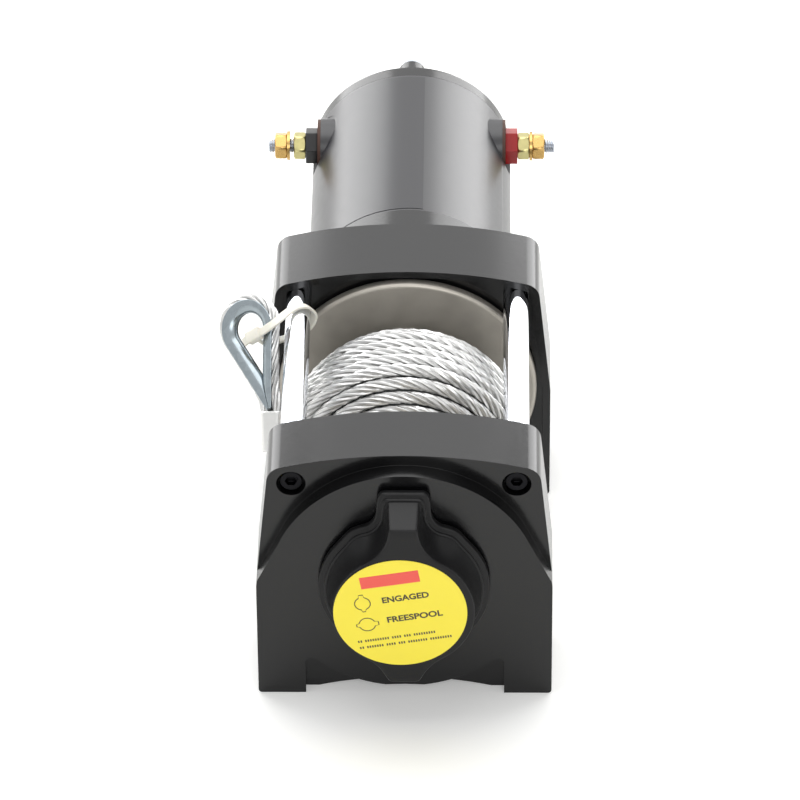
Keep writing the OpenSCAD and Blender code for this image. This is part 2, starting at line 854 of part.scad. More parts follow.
module sun_gear(k) {
    color(gear_steel)
        external_gear(
            k == 0 ? planet_y(k) : plate_y(k - 1) + plate_t[k - 1],
            planet_y(k) + stage_w[k],
            sun_z,
            k == 0 ? drive_r + seat : sun_bore_r,
            90
        );
}

module carrier(k) {
    color(gear_steel)
        difference() {
            union() {
                round_y(plate_y(k), plate_y(k) + plate_t[k], plate_r);
                for (place = [0 : 2])
                    let (a = 90 + 120 * place)
                        round_y(planet_y(k), plate_y(k) + plate_t[k] / 2, pin_r,
                            orbit_r * cos(a), axis_z + orbit_r * sin(a), small_n);
                if (k == 2)
                    drum_key();
            }
            round_y(planet_y(k) - over, flange_near_y + key_l + over, sun_bore_r);
        }
}

// The last carrier's hub, whose three lugs turn the drum
module drum_key() {
    hub_y = plate_y(2) + plate_t[2];
    round_y(hub_y - plate_t[2] / 2, flange_near_y + key_l, drum_bore_r - seat);
    key_lugs(flange_near_y, flange_near_y + key_l - clear, key_lug_r - seat, key_lug_w / 2 - seat);
}

module key_lugs(y0, y1, reach, half_w) {
    for (a = [30, 150, 270])
        translate([0, 0, axis_z])
            rotate([0, a, 0])
                translate([0, y0, -half_w])
                    cube([reach, y1 - y0, 2 * half_w]);
}

module drum_bush_front() {
    color(nylon)
        ring_of(bush_front_y, housing_rear_y, plate_r + run_gap, cavity_r - seat);
}

module drive_shaft() {
    color(gear_steel)
        union() {
            round_y(-brake_l / 2, brake_l / 2, brake_hub_r, sides = small_n);
            round_y(drive_front_y, coupling_y - clear, drive_r, sides = small_n);
            hex_y(coupling_y - clear - over, coupling_y + coupling_l / 2 - clear, drive_r);
        }
}

module hex_y(y0, y1, r) {
    round_y(y0, y1, r, sides = 6);
}

module shaft_coupling() {
    color(gear_steel)
        difference() {
            round_y(coupling_y, coupling_y + coupling_l, coupling_r, sides = small_n);
            hex_y(coupling_y - over, coupling_y + coupling_l + over, drive_r + seat);
        }
}

// Shoes of the brake in the drum's bore, on the drive shaft's collar
module brake_shoes() {
    color(bare_steel)
        for (turn = [0, 180])
            translate([0, -brake_l / 2 + clear, axis_z])
                rotate([-90, turn, 0])
                    rotate_extrude(angle = 160, $fn = circle_n)
                        translate([brake_hub_r + seat, 0])
                            square([drum_bore_r - brake_gap - brake_hub_r - seat, brake_l - 2 * clear]);
}

// Drum and rope
module drum() {
    journal_end_y = flange_far_y + journal_l;
    rim_points = [for (i = [0 : arc_n / 2]) let (a = 90 * i / (arc_n / 2)) rim_r * [cos(a), sin(a)]];
    color(bare_steel)
        difference() {
            lathe(concat(
                [[drum_bore_r, flange_near_y]],
                [for (i = [len(rim_points) - 1 : -1 : 0])
                    [flange_r - rim_r, flange_near_y + rim_r] + [rim_points[i][0], -rim_points[i][1]]],
                [for (q = rim_points) [flange_r - rim_r, flange_near_y + flange_t - rim_r] + q],
                [[barrel_r, flange_near_y + flange_t], [barrel_r, flange_far_y - flange_t]],
                [for (i = [len(rim_points) - 1 : -1 : 0])
                    [flange_r - rim_r, flange_far_y - flange_t + rim_r] + [rim_points[i][0], -rim_points[i][1]]],
                [for (q = rim_points) [flange_r - rim_r, flange_far_y - rim_r] + q],
                [[journal_r, flange_far_y], [journal_r, journal_end_y], [drum_bore_r, journal_end_y]]
            ));
            key_lugs(flange_near_y - over, flange_near_y + key_l, key_lug_r, key_lug_w / 2);
        }
}

module drum_bush_rear() {
    color(nylon)
        ring_of(bracket_floor_y, bracket_floor_y + journal_l + clear / 2, journal_r + run_gap,
            journal_r + bush_wall);
}

// The rope's outer layer: the height of the mound at a place u from -1 to 1 between the flanges
function mound_share(u) =
    u < crest_share
        ? smooth((u + rise_share) / (crest_share + rise_share))
        : 1 - slope_share * (u - crest_share) - fall_depth_share * smooth((u - fall_share) / fall_length_share);
wind_half = (flange_far_y - flange_near_y) / 2 - flange_t - rope_r - 2 * clear;
function wind_point(u) = [drum_mid_y + u * wind_half, low_r - rope_r + (mound_r - low_r) * mound_share(u)];
wind_steps = 200;
core_steps = 40;
wind_shares = [for (i = [0 : wind_steps]) -1 + 2 * i / wind_steps];
wind_lengths = [
    for (i = 0, s = 0; i <= wind_steps;
        i = i + 1, s = i <= wind_steps ? s + norm(wind_point(wind_shares[i]) - wind_point(wind_shares[i - 1])) : s)
        s
];
wind_table = [for (i = [0 : wind_steps]) [wind_lengths[i], wind_shares[i]]];
turn_rings = 24;
wind_start = 200;
wind_rings = floor(wind_lengths[wind_steps] / rope_step * turn_rings);
wound_points = [
    for (i = [0 : wind_rings])
        let (q = wind_point(lookup(i * rope_step / turn_rings, wind_table)), a = wind_start + 360 * i / turn_rings)
        [q[1] * cos(a), q[0], axis_z + q[1] * sin(a)]
];
winding_points = concat(
    [wound_points[0] + rope_d * unit(wound_points[0] - wound_points[1])],
    wound_points,
    [wound_points[wind_rings] + rope_d * unit(wound_points[wind_rings] - wound_points[wind_rings - 1])]
);

echo(turns = wind_rings / turn_rings, least_gap_between_turns = least_gap(wound_points, rope_d, turn_rings));

module rope_winding() {
    color(bright_steel)
        tube(winding_points, rope_r, 6, [0, 1, 0]);
}

module rope_core() {
    core_shares = [for (i = [0 : core_steps]) -1 + 2 * i / core_steps];
    color(bare_steel)
        lathe(concat(
            [[barrel_r, wind_point(-1)[0] - rope_r], [wind_point(-1)[1] - rope_r - core_gap, wind_point(-1)[0] - rope_r]],
            [for (u = core_shares) core_point(u)],
            [[wind_point(1)[1] - rope_r - core_gap, wind_point(1)[0] + rope_r], [barrel_r, wind_point(1)[0] + rope_r]]
        ));
}

// A point of the core under the turns, square to the layer
function core_point(u) =
    let (
        step = 2 / wind_steps,
        q = wind_point(u),
        t = unit(wind_point(min(1, u + step)) - wind_point(max(-1, u - step))),
        deep = rope_r + core_gap
    )
    [q[1] - t[0] * deep, q[0] + t[1] * deep];

// Motor
module motor_can() {
    color(black_paint)
        difference() {
            union() {
                round_y(can_front_y, cap_y, can_r);
                both_sides()
                    round_x(can_in_r - magnet_t, pad_x, pad_r, terminal_y, terminal_height);
            }
            round_y(can_front_y - over, cap_y + over, can_in_r);
            both_sides() {
                round_x(pad_x, can_r + over, pad_r + clear, terminal_y, terminal_height);
                round_x(stud_in_x - over, can_r + over, sleeve_r + seat, terminal_y, terminal_height);
            }
        }
}

module motor_front_plate() {
    spigot_r = can_in_r - seat;
    color(bare_steel)
        difference() {
            round_y(can_front_y - plate_spigot_t, can_front_y + plate_seat_t, spigot_r);
            round_y(can_front_y + plate_seat_t - bearing_w, can_front_y + plate_seat_t + over, bearing_r + seat);
            round_y(can_front_y - plate_spigot_t - over, can_front_y + plate_seat_t, shaft_body_r + 2 * clear);
            for (way = [-1, 1])
                round_y(can_front_y - plate_spigot_t - over, can_front_y + plate_seat_t + over, through_r + seat,
                    0, axis_z + way * through_pitch, small_n);
        }
}

module motor_bearing(y) {
    color(bright_steel)
        ring_of(y, y + bearing_w, shaft_r + run_gap, bearing_r);
}

module field_magnets() {
    color(gear_steel)
        for (a = [0 : 90 : 270])
            translate([0, armature_y + armature_l / 2 - magnet_l / 2, axis_z])
                rotate([-90, a + 45 - magnet_angle / 2, 0])
                    rotate_extrude(angle = magnet_angle, $fn = circle_n)
                        translate([can_in_r - magnet_t, 0])
                            square([magnet_t, magnet_l]);
}

module armature_core() {
    color(bare_steel)
        translate([0, 0, axis_z])
            slab(armature_y, armature_y + armature_l)
                difference() {
                    circle(r = armature_r, $fn = circle_n);
                    circle(r = shaft_body_r, $fn = small_n);
                    for (a = [0 : 360 / slot_n : 359])
                        rotate(a)
                            translate([slot_r, -slot_w / 2])
                                square([armature_r, slot_w]);
                }
}

module armature_windings() {
    color([0.72, 0.4, 0.2])
        union() {
            for (a = [0 : 360 / slot_n : 359])
                translate([0, 0, axis_z])
                    rotate([0, a, 0])
                        translate([slot_r + seat, armature_y - winding_l / 2, -slot_w / 2 + seat])
                            cube([winding_r - slot_r, armature_l + winding_l, slot_w - 2 * seat]);
            end_turns(armature_y - winding_l);
            end_turns(armature_y + armature_l);
        }
}

module end_turns(y) {
    edge = winding_l / 4;
    lathe([
        [shaft_body_r + over, y],
        [winding_r - edge, y],
        [winding_r, y + edge],
        [winding_r, y + winding_l - edge],
        [winding_r - edge, y + winding_l],
        [shaft_body_r + over, y + winding_l]
    ]);
}

module commutator() {
    color([0.72, 0.45, 0.25])
        translate([0, 0, axis_z])
            slab(commutator_y, commutator_y + commutator_l)
                difference() {
                    circle(r = commutator_r, $fn = circle_n);
                    circle(r = shaft_body_r, $fn = small_n);
                    for (a = [0 : 360 / bar_n : 359])
                        rotate(a)
                            translate([commutator_r - bar_slot_w * 2, -bar_slot_w / 2])
                                square([commutator_r, bar_slot_w]);
                }
}

module armature_shaft() {
    color(bright_steel)
        union() {
            hex_y(coupling_y + coupling_l / 2 + clear, coupling_y + coupling_l + clear + over, drive_r);
            round_y(coupling_y + coupling_l + clear, cap_y + cap_t - cap_wall - clear, shaft_r, sides = small_n);
            round_y(can_front_y + plate_seat_t + clear, cap_y - over - clear, shaft_body_r, sides = small_n);
        }
}

module motor_end_cap() {
    edge_points = [for (i = [0 : arc_n]) let (a = 90 * i / arc_n)
        [can_r - cap_edge_r, cap_end_y - cap_edge_r] + cap_edge_r * [cos(a), sin(a)]];
    spigot_r = can_in_r - seat;
    color(black_paint)
        difference() {
            union() {
                lathe(concat(
                    [[0, cap_y - cap_spigot_t], [spigot_r, cap_y - cap_spigot_t], [spigot_r, cap_y], [can_r, cap_y]],
                    edge_points,
                    [[0, cap_end_y]]
                ));
                for (way = [-1, 1])
                    round_y(cap_end_y - cap_edge_r, cap_end_y + cap_boss_t, cap_boss_r,
                        0, axis_z + way * through_pitch, small_n);
            }
            round_y(cap_y - cap_spigot_t - over, cap_y - over, shaft_body_r + 2 * clear);
            round_y(cap_y - cap_spigot_t - over, cap_y - over + bearing_w, bearing_r + seat);
            round_y(cap_y, cap_end_y - cap_wall, shaft_r + clear);
            for (way = [-1, 1])
                round_y(cap_y - cap_spigot_t - over, cap_end_y + cap_boss_t + over, through_r + seat,
                    0, axis_z + way * through_pitch, small_n);
        }
}

module through_bolts() {
    head_y = cap_end_y + cap_boss_t;
    color(bright_steel)
        for (way = [-1, 1])
            union() {
                round_y(can_front_y - plate_spigot_t, head_y + over, through_r, 0, axis_z + way * through_pitch, small_n);
                round_y(head_y, head_y + through_head_t, through_head_af / sqrt(3),
                    0, axis_z + way * through_pitch, 6);
            }
}

// Everything of one brush lies along X, and is then turned to its place
module brush_place(a) {
    translate([0, brush_y, axis_z])
        rotate([0, a, 0])
            children();
}

module brush_plate() {
    plate_back_y = cap_y - cap_spigot_t;
    half_w = brush_w / 2 + seat + holder_wall;
    half_l = brush_l / 2 + seat + holder_wall;
    color([0.45, 0.32, 0.2])
        union() {
            difference() {
                ring_of(plate_back_y - brush_plate_t, plate_back_y, commutator_r + over, can_in_r - clear);
                for (way = [-1, 1])
                    round_y(plate_back_y - brush_plate_t - over, plate_back_y + over, through_r + clear,
                        0, axis_z + way * through_pitch, small_n);
            }
            for (a = [45 : 90 : 315])
                brush_place(a)
                    difference() {
                        translate([commutator_r + holder_gap, -half_l, -half_w])
                            cube([holder_end_r - commutator_r - holder_gap,
                                half_l + plate_back_y - brush_plate_t - brush_y, 2 * half_w]);
                        translate([commutator_r, -brush_l / 2 - seat, -brush_w / 2 - seat])
                            cube([holder_end_r - commutator_r - holder_wall, brush_l + 2 * seat, brush_w + 2 * seat]);
                    }
        }
}

module brushes() {
    color([0.2, 0.2, 0.2])
        for (a = [45 : 90 : 315])
            brush_place(a)
                translate([commutator_r + clear, -brush_l / 2, -brush_w / 2])
                    cube([brush_h, brush_l, brush_w]);
}

module brush_springs() {
    start_x = commutator_r + clear + brush_h + brush_wire_r + seat;
    end_x = holder_end_r - holder_wall - brush_wire_r - seat;
    coil_r = brush_w / 2 - brush_wire_r - seat;
    color(bright_steel)
        for (a = [45 : 90 : 315])
            brush_place(a)
                tube(
                    [for (i = [0 : 30]) [along(start_x, end_x, i / 30), coil_r * cos(i * 36), coil_r * sin(i * 36)]],
                    brush_wire_r,
                    4,
                    [1, 0, 0]
                );
}

// Terminals: each set is drawn on the right, and mirrored for the left
module terminal_studs() {
    color(bright_steel)
        for (side = [0, 1])
            mirror([side, 0, 0])
                union() {
                    round_x(stud_in_x, stud_reach - terminal_tip, stud_r, terminal_y, terminal_height);
                    translate([stud_reach - terminal_tip, terminal_y, terminal_height])
                        rotate([0, 90, 0])
                            cylinder(h = terminal_tip, r1 = stud_r, r2 = stud_r / 3, $fn = small_n);
                }
}

module on_stud(x0, x1, r, sides = small_n, bore = stud_r + seat, turn = 0) {
    translate([x0, terminal_y, terminal_height])
        rotate([turn, 0, 0])
            rotate([0, 90, 0])
                difference() {
                    cylinder(h = x1 - x0, r = r, $fn = sides);
                    translate([0, 0, -over])
                        cylinder(h = x1 - x0 + 2 * over, r = bore, $fn = small_n);
                }
}

module fibre_washers() {
    color([0.4, 0.2, 0.12])
        both_sides()
            on_stud(pad_x, insulator_x, fibre_r, bore = sleeve_r + seat);
}

module insulator(side) {
    mirror([side < 0 ? 1 : 0, 0, 0])
        color(side < 0 ? black_plastic : [0.75, 0.08, 0.06])
            difference() {
                union() {
                    on_stud(insulator_x, nut_x, insulator_w / 2, 6, stud_r / 2, 12);
                    round_x(stud_in_x + over, insulator_x + over, sleeve_r, terminal_y, terminal_height);
                }
                round_x(stud_in_x, nut_x + over, stud_r + seat, terminal_y, terminal_height);
            }
}

module inner_nuts() {
    color([0.75, 0.72, 0.5])
        both_sides()
            on_stud(nut_x, outer_nut_x, terminal_af / sqrt(3), 6, turn = 20);
}

module outer_nuts() {
    color(brass_colour)
        for (side = [0, 1])
            let (x = outer_nut_x + thin_washer_t + (side == 1 ? left_gap : 0))
            mirror([side, 0, 0])
                on_stud(x, x + terminal_nut_t, terminal_af / sqrt(3), 6, turn = 5);
}

module terminal_washers() {
    color(brass_colour)
        for (side = [0, 1])
            let (x = outer_nut_x + (side == 1 ? left_gap : 0))
            mirror([side, 0, 0])
                on_stud(x, x + thin_washer_t, terminal_af / sqrt(3) + clear);
}

module motor_label() {
    color([0.17, 0.17, 0.18])
        difference() {
            translate([0, label_front_y, axis_z])
                rotate([-90, -90 - label_left, 0])
                    rotate_extrude(angle = label_left + label_right, $fn = circle_n)
                        translate([can_r + seat, 0])
                            square([film_t, label_back_y - label_front_y]);
            round_x(-can_r - over, 0, pad_r + over, terminal_y, terminal_height);
        }
}

module motor_bearings() {
    motor_bearing(can_front_y + plate_seat_t - bearing_w);
    motor_bearing(cap_y - over);
}

// Clutch
module knob_outline_2d(grow) {
    r = knob_r + grow;
    translate([0, axis_z]) {
        circle(r = r, $fn = circle_n);
        knob_pointer_2d(r, pointer_half_w + grow, pointer_reach + grow, knob_fillet_r);
        rotate(180)
            knob_pointer_2d(r, tail_half_w + grow, tail_reach + grow, knob_fillet_r);
    }
}

// A pointer along +Y whose sides run into the circle of radius r through fillets of radius f
module knob_pointer_2d(r, half_w, reach, f) {
    rise = sqrt(pow(r + f, 2) - pow(half_w + f, 2));
    edge = half_w / 2;
    polygon(concat(
        rounded([half_w, rise], [half_w, reach], [0, reach], edge, arc_n),
        rounded([0, reach], [-half_w, reach], [-half_w, rise], edge, arc_n),
        [for (i = [0 : arc_n])
            let (a = along(0, -acos((half_w + f) / (r + f)), i / arc_n))
            [-half_w - f + f * cos(a), rise + f * sin(a)]],
        [[0, 0]],
        [for (i = [arc_n : -1 : 0])
            let (a = along(0, -acos((half_w + f) / (r + f)), i / arc_n))
            [half_w + f - f * cos(a), rise + f * sin(a)]]
    ));
}

module clutch_knob() {
    lip_y = knob_back_y - knob_lip_t;
    inner_y = knob_front_y + knob_wall;
    hub_end_y = housing_front_y - knob_gap / 2;
    ledge = knob_r - knob_body_r;
    edge_y = knob_front_y + knob_edge;
    color(black_plastic)
        difference() {
            union() {
                slab(lip_y, knob_back_y)
                    knob_outline_2d(0);
                knob_cone(lip_y, edge_y, knob_body_r, knob_front_r + knob_edge);
                knob_cone(edge_y, knob_front_y, knob_front_r + knob_edge, knob_front_r);
                grip_bar(bar_w / 2, bar_crest, pointer_reach - ledge, 1);
                grip_bar(tail_half_w - ledge, tail_crest, tail_reach - ledge, -1);
            }
            round_y(inner_y, knob_back_y + over, slider_r + 2 * clear);
            round_y(knob_front_y - over, inner_y + over, screw_r + run_gap, sides = small_n);
            round_y(knob_front_y - over, knob_front_y + clutch_head_t, clutch_head_r + clear, sides = small_n);
        }
    color(black_plastic)
        difference() {
            round_y(inner_y - knob_wall / 2, hub_end_y, hub_r);
            round_y(inner_y, hub_end_y + over, boss_r + run_gap);
            round_y(knob_front_y, inner_y + over, screw_r + run_gap, sides = small_n);
            for (i = [0 : groove_steps], side = [0, 180])
                translate([0, lug_y - slider_stroke * i / groove_steps, axis_z])
                    rotate([0, side - 90 * i / groove_steps, 0])
                        rotate([0, 90, 0])
                            translate([0, 0, hub_r - lug_l])
                                cylinder(h = lug_l + over, r = lug_r + groove_play, $fn = small_n);
        }
}

// A step of the knob's body from back_y to front_y
module knob_cone(back_y, front_y, back_r, front_r) {
    translate([0, back_y, axis_z])
        rotate([90, 0, 0])
            cylinder(h = back_y - front_y, r1 = back_r, r2 = front_r, $fn = circle_n);
}

// The flat front drawn out over a pointer, way up or down, whose end slopes from its crest to the lip
module grip_bar(half_w, crest, reach, way) {
    lip_y = knob_back_y - knob_lip_t;
    foot_y = knob_back_y - knob_lip_t / 2;
    intersection() {
        slab(knob_front_y, foot_y)
            translate([0, axis_z])
                rotate(90 - 90 * way)
                    knob_pointer_2d(knob_front_r, half_w, reach + knob_lip_t, flare_r);
        translate([-knob_front_r, 0, axis_z])
            rotate([90, 0, 90])
                linear_extrude(height = 2 * knob_front_r)
                    polygon([
                        [foot_y, 0],
                        [knob_front_y, 0],
                        [knob_front_y, way * crest],
                        [lip_y, way * reach],
                        [foot_y, way * reach]
                    ]);
    }
}

module knob_sticker() {
    color([1, 0.92, 0.23])
        translate([sticker_r + sticker_margin - knob_front_r, 0, 0])
            round_y(knob_front_y - film_t, knob_front_y, sticker_r);
}

module clutch_slider() {
    bore_r = hub_r + clear;
    tip_y = ring_y + lock_web_t;
    color(gear_steel)
        union() {
            ring_of(slider_front_y, slider_back_y, bore_r, slider_r);
            for (side = [-1, 1])
                round_y(slider_front_y + slider_t / 2, tip_y, lock_pin_r, side * lock_pin_x, sides = small_n);
            both_sides()
                round_x(hub_r - lug_l + clear, bore_r + slider_t / 2, lug_r, lug_y, axis_z);
        }
}

module clutch_spring() {
    inner_y = knob_front_y + knob_wall;
    coil_r = hub_r + spring_wire_r + 2 * clear;
    y0 = inner_y + spring_wire_r + run_gap;
    y1 = slider_front_y - spring_wire_r - run_gap;
    n = spring_turns * 10;
    color(bright_steel)
        tube(
            [for (i = [0 : n]) [coil_r * cos(i * 36), along(y0, y1, i / n), axis_z + coil_r * sin(i * 36)]],
            spring_wire_r,
            6,
            [0, 1, 0]
        );
}

module clutch_screw() {
    color(bright_steel)
        union() {
            round_y(knob_front_y + film_t, knob_front_y + clutch_head_t - run_gap, clutch_head_r, sides = small_n);
            round_y(knob_front_y + film_t, clutch_screw_end_y, screw_r, sides = small_n);
        }
}

// Hook end: the thimble lies in the plane of eye_up and eye_side, and the ferrule hangs below its tip
left_rod = [-rod_x, 0, rod_z];
eye_tip_step = [-9.3, 6.5, -23];
eye_crown_step = [-19.3, 31.3, -1.4];
eye_tip = left_rod + eye_tip_step;
eye_crown = left_rod + eye_crown_step;
eye_up = unit(eye_crown - eye_tip);
eye_side = unit(square_to([0.866, -0.33, 0.375], eye_up));
eye_normal = cross(eye_side, eye_up);
eye_l = norm(eye_crown - eye_tip);
eye_half = asin(eye_r / eye_l);
ferrule_up = unit([-0.04, 0.6, 0.8]);
ferrule_side = square_to(eye_side, ferrule_up);
ferrule_half_w = rope_r + leg_gap / 2 + rope_r;
function eye_point(side, up) = eye_tip + side * eye_side + up * eye_up;

module in_eye_plane() {
    multmatrix([
        [eye_side[0], eye_up[0], eye_normal[0], eye_tip[0]],
        [eye_side[1], eye_up[1], eye_normal[1], eye_tip[1]],
        [eye_side[2], eye_up[2], eye_normal[2], eye_tip[2]],
        [0, 0, 0, 1]
    ])
        children();
}

// A drop shape round the crown's centre, at r from it, whose legs run parallel to the rope's
function drop(r, steps) = concat(
    [[0, eye_l - r / sin(eye_half)]],
    [for (i = [0 : steps])
        let (a = along(-eye_half, 180 + eye_half, i / steps))
        [0, eye_l] + r * [cos(a), sin(a)]]
);

module thimble() {
    color(bright_steel)
        in_eye_plane()
            difference() {
                union() {
                    translate([0, 0, -thimble_half_w])
                        linear_extrude(height = 2 * thimble_half_w)
                            polygon(drop(thimble_in_r + thimble_wall, 20));
                    for (z = [-thimble_half_w, thimble_half_w - thimble_flange_t])
                        translate([0, 0, z])
                            linear_extrude(height = thimble_flange_t)
                                polygon(drop(eye_r + thimble_lip, 20));
                }
                translate([0, 0, -thimble_half_w - over])
                    linear_extrude(height = 2 * thimble_half_w + 2 * over) {
                        polygon(drop(thimble_in_r, 20));
                        translate([-eye_r, -eye_l])
                            square([2 * eye_r, eye_l + thimble_foot]);
                    }
            }
}

// The rope's eye: up from the ferrule, round the crown and back down
leg_offset = rope_r + leg_gap / 2;
leg_meets = leg_offset / tan(eye_half);
function leg_line(side) = concat(
    [
        eye_tip + side * leg_offset * ferrule_side,
        eye_tip + side * leg_offset * ferrule_side + rope_d * leg_rise_share * ferrule_up,
        eye_tip + side * leg_offset * ferrule_side + rope_d * ferrule_up
    ],
    [for (s = [0.2 : 0.2 : 0.9])
        let (up = along(leg_meets, eye_l * pow(cos(eye_half), 2), s))
        eye_point(side * up * tan(eye_half), up)]
);
function reversed(p) = [for (i = [len(p) - 1 : -1 : 0]) p[i]];
eye_points = concat(
    leg_line(1),
    [for (i = [0 : 14])
        let (a = along(-eye_half, 180 + eye_half, i / 14))
        eye_point(eye_r * cos(a), eye_l + eye_r * sin(a))],
    reversed(leg_line(-1))
);

module rope_eye() {
    color(bright_steel)
        tube(eye_points, rope_r, 8, eye_normal);
}

module ferrule() {
    half = ferrule_half_w + clear;
    edge = ferrule_t / 2;
    color([0.8, 0.81, 0.82])
        multmatrix([
            [ferrule_side[0], ferrule_depth[0], ferrule_up[0], eye_tip[0]],
            [ferrule_side[1], ferrule_depth[1], ferrule_up[1], eye_tip[1]],
            [ferrule_side[2], ferrule_depth[2], ferrule_up[2], eye_tip[2]],
            [0, 0, 0, 1]
        ])
            translate([0, 0, -ferrule_l])
                linear_extrude(height = ferrule_l) {
                    for (side = [-1, 1])
                        translate([side * (half - edge), 0])
                            circle(r = edge, $fn = small_n);
                    translate([edge - half, -edge])
                        square([2 * (half - edge), 2 * edge]);
                }
}
ferrule_depth = cross(ferrule_up, ferrule_side);
ferrule_foot = eye_tip - ferrule_l * ferrule_up;

// The rope from the ferrule down to the low turns by the gear housing
tail_route = [
    [-51.2, -9.5, 51],
    [-49, -13.6, 43.5],
    [-45.5, -17.5, 36],
    [-41, -21.3, 29.5],
    [-35, -24.7, 24.5],
    [-28, -27.4, 21.5],
    [-20, -29.3, 20.5],
    [-12, -30.6, 22],
    [-4, -31.1, 24.5]
];
tail_points = concat(
    [ferrule_foot, ferrule_foot - rope_d * ferrule_up],
    tail_route
);

module rope_tail() {
    color(bright_steel)
        tube(tail_points, rope_r, 8, [1, 0, 0]);
}

// The cable tie lies in an upright plane through the rod and the thimble's near leg
tie_step = [-10.5, 28, 2];
tie_origin = left_rod + tie_step;
tie_along = [0.79, 0.613, 0];
tie_loop = [[-8.3, -7], [-7.6, -2.6], [-3.6, -13.2], [-1, 5.6], [3.4, 5.8], [3.8, 1]];
tie_rod_place = [13.3, -2];

module tie_inside(grow) {
    offset(r = grow, $fn = small_n / 2)
        hull() {
            for (shift = [-1, 1])
                translate(tie_rod_place + [shift * tie_w / 2 * tie_along[1] / tie_along[0], 0])
                    scale([1 / tie_along[0], 1])
                        circle(r = rod_r, $fn = small_n);
            polygon([tie_loop[0], tie_loop[1], tie_loop[3], tie_loop[4], tie_loop[5], tie_loop[2]]);
        }
}

module zip_tie() {
    color([0.93, 0.92, 0.86])
        multmatrix([
            [tie_along[0], 0, tie_along[1], tie_origin[0]],
            [tie_along[1], 0, -tie_along[0], tie_origin[1]],
            [0, 1, 0, tie_origin[2]],
            [0, 0, 0, 1]
        ]) {
            translate([0, 0, -tie_w / 2])
                linear_extrude(height = tie_w)
                    difference() {
                        tie_inside(tie_play + tie_t);
                        tie_inside(tie_play);
                    }
            translate([
                tie_loop[1][0] - tie_play - tie_head[0],
                tie_loop[1][1] - tie_head[1] * tie_head_share,
                -tie_head[2] / 2
            ])
                cube(tie_head);
            translate([tie_loop[1][0] - tie_head[0] - tie_tail_l, tie_loop[1][1] - tie_head[1] / 2, -tie_w / 2])
                cube([tie_tail_l, tie_t, tie_w]);
        }
}

gear_housing();
motor_bracket();
tie_rods();
tie_rod_screws();
mounting_nuts();
drum_bush_front();
drum_bush_rear();
ring_gear();
planet_gear(0, 0);  // planet_gear_1a
planet_gear(0, 1);  // planet_gear_1b
planet_gear(0, 2);  // planet_gear_1c
planet_gear(1, 0);  // planet_gear_2a
planet_gear(1, 1);  // planet_gear_2b
planet_gear(1, 2);  // planet_gear_2c
planet_gear(2, 0);  // planet_gear_3a
planet_gear(2, 1);  // planet_gear_3b
planet_gear(2, 2);  // planet_gear_3c
sun_gear(0);  // sun_gear_1
sun_gear(1);  // sun_gear_2
sun_gear(2);  // sun_gear_3
carrier(0);  // carrier_1
carrier(1);  // carrier_2
carrier(2);  // carrier_3
drive_shaft();
shaft_coupling();
brake_shoes();
drum();
rope_core();
rope_winding();
rope_tail();
rope_eye();
ferrule();
thimble();
zip_tie();
clutch_knob();
knob_sticker();
clutch_slider();
clutch_spring();
clutch_screw();
motor_can();
motor_end_cap();
motor_front_plate();
motor_bearings();
field_magnets();
armature_core();
armature_windings();
armature_shaft();
commutator();
brush_plate();
brushes();
brush_springs();
through_bolts();
terminal_studs();
insulator(-1);  // insulator_black
insulator(1);  // insulator_red
fibre_washers();
terminal_washers();
inner_nuts();
outer_nuts();
motor_label();
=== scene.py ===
"""Electric recovery winch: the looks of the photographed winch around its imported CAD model.

Lengths are metres. The drum's axis runs along Y, the clutch end is at minus Y and the motor end at
plus Y, and the four feet stand on z = 0. It is laid out as an add-on and run as a script.
"""

import math

import bmesh
import bpy
import numpy as np
from mathutils import Matrix, Vector


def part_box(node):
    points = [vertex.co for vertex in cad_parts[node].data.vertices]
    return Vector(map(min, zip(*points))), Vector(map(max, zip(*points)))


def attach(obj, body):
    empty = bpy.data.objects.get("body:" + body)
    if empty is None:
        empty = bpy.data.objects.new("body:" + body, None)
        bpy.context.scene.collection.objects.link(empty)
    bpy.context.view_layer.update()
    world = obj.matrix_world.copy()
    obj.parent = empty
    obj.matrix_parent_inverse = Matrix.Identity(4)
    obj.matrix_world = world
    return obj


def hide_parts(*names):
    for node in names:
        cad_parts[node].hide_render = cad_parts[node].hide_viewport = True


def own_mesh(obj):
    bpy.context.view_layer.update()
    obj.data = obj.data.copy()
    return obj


bl_info = {
    "name": "Electric recovery winch",
    "version": (1, 0, 0),
    "blender": (4, 5, 0),
    "location": "3D View > Sidebar > Winch",
    "description": "Builds the castings, rope, hook eye, clutch knob and motor of an electric winch",
    "category": "Add Mesh",
}

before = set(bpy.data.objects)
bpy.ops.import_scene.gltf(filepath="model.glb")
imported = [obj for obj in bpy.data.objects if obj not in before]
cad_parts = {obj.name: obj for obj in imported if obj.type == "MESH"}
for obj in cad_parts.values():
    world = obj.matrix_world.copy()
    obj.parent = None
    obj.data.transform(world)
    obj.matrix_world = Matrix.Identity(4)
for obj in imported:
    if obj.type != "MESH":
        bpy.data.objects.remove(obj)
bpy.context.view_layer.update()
MM = 0.001
ROOT, DRUM, KNOB = "winch_frame", "rope_drum", "clutch_knob"


def centre_of(node):
    """Middle of a CAD node's box."""
    low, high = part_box(node)
    return (low + high) / 2


AXIS_Z = centre_of("drive_shaft").z
FULL_TURN = 2 * math.pi


# Colours and shader nodes


def linear(code, alpha=1.0):
    """An sRGB colour written as a hex code, as linear red, green, blue and alpha."""
    shares = [int(code[i : i + 2], 16) / 255 for i in (1, 3, 5)]
    low, knee, slope, power = 12.92, 0.04045, 1.055, 2.4
    return [s / low if s <= knee else ((s + slope - 1) / slope) ** power for s in shares] + [alpha]


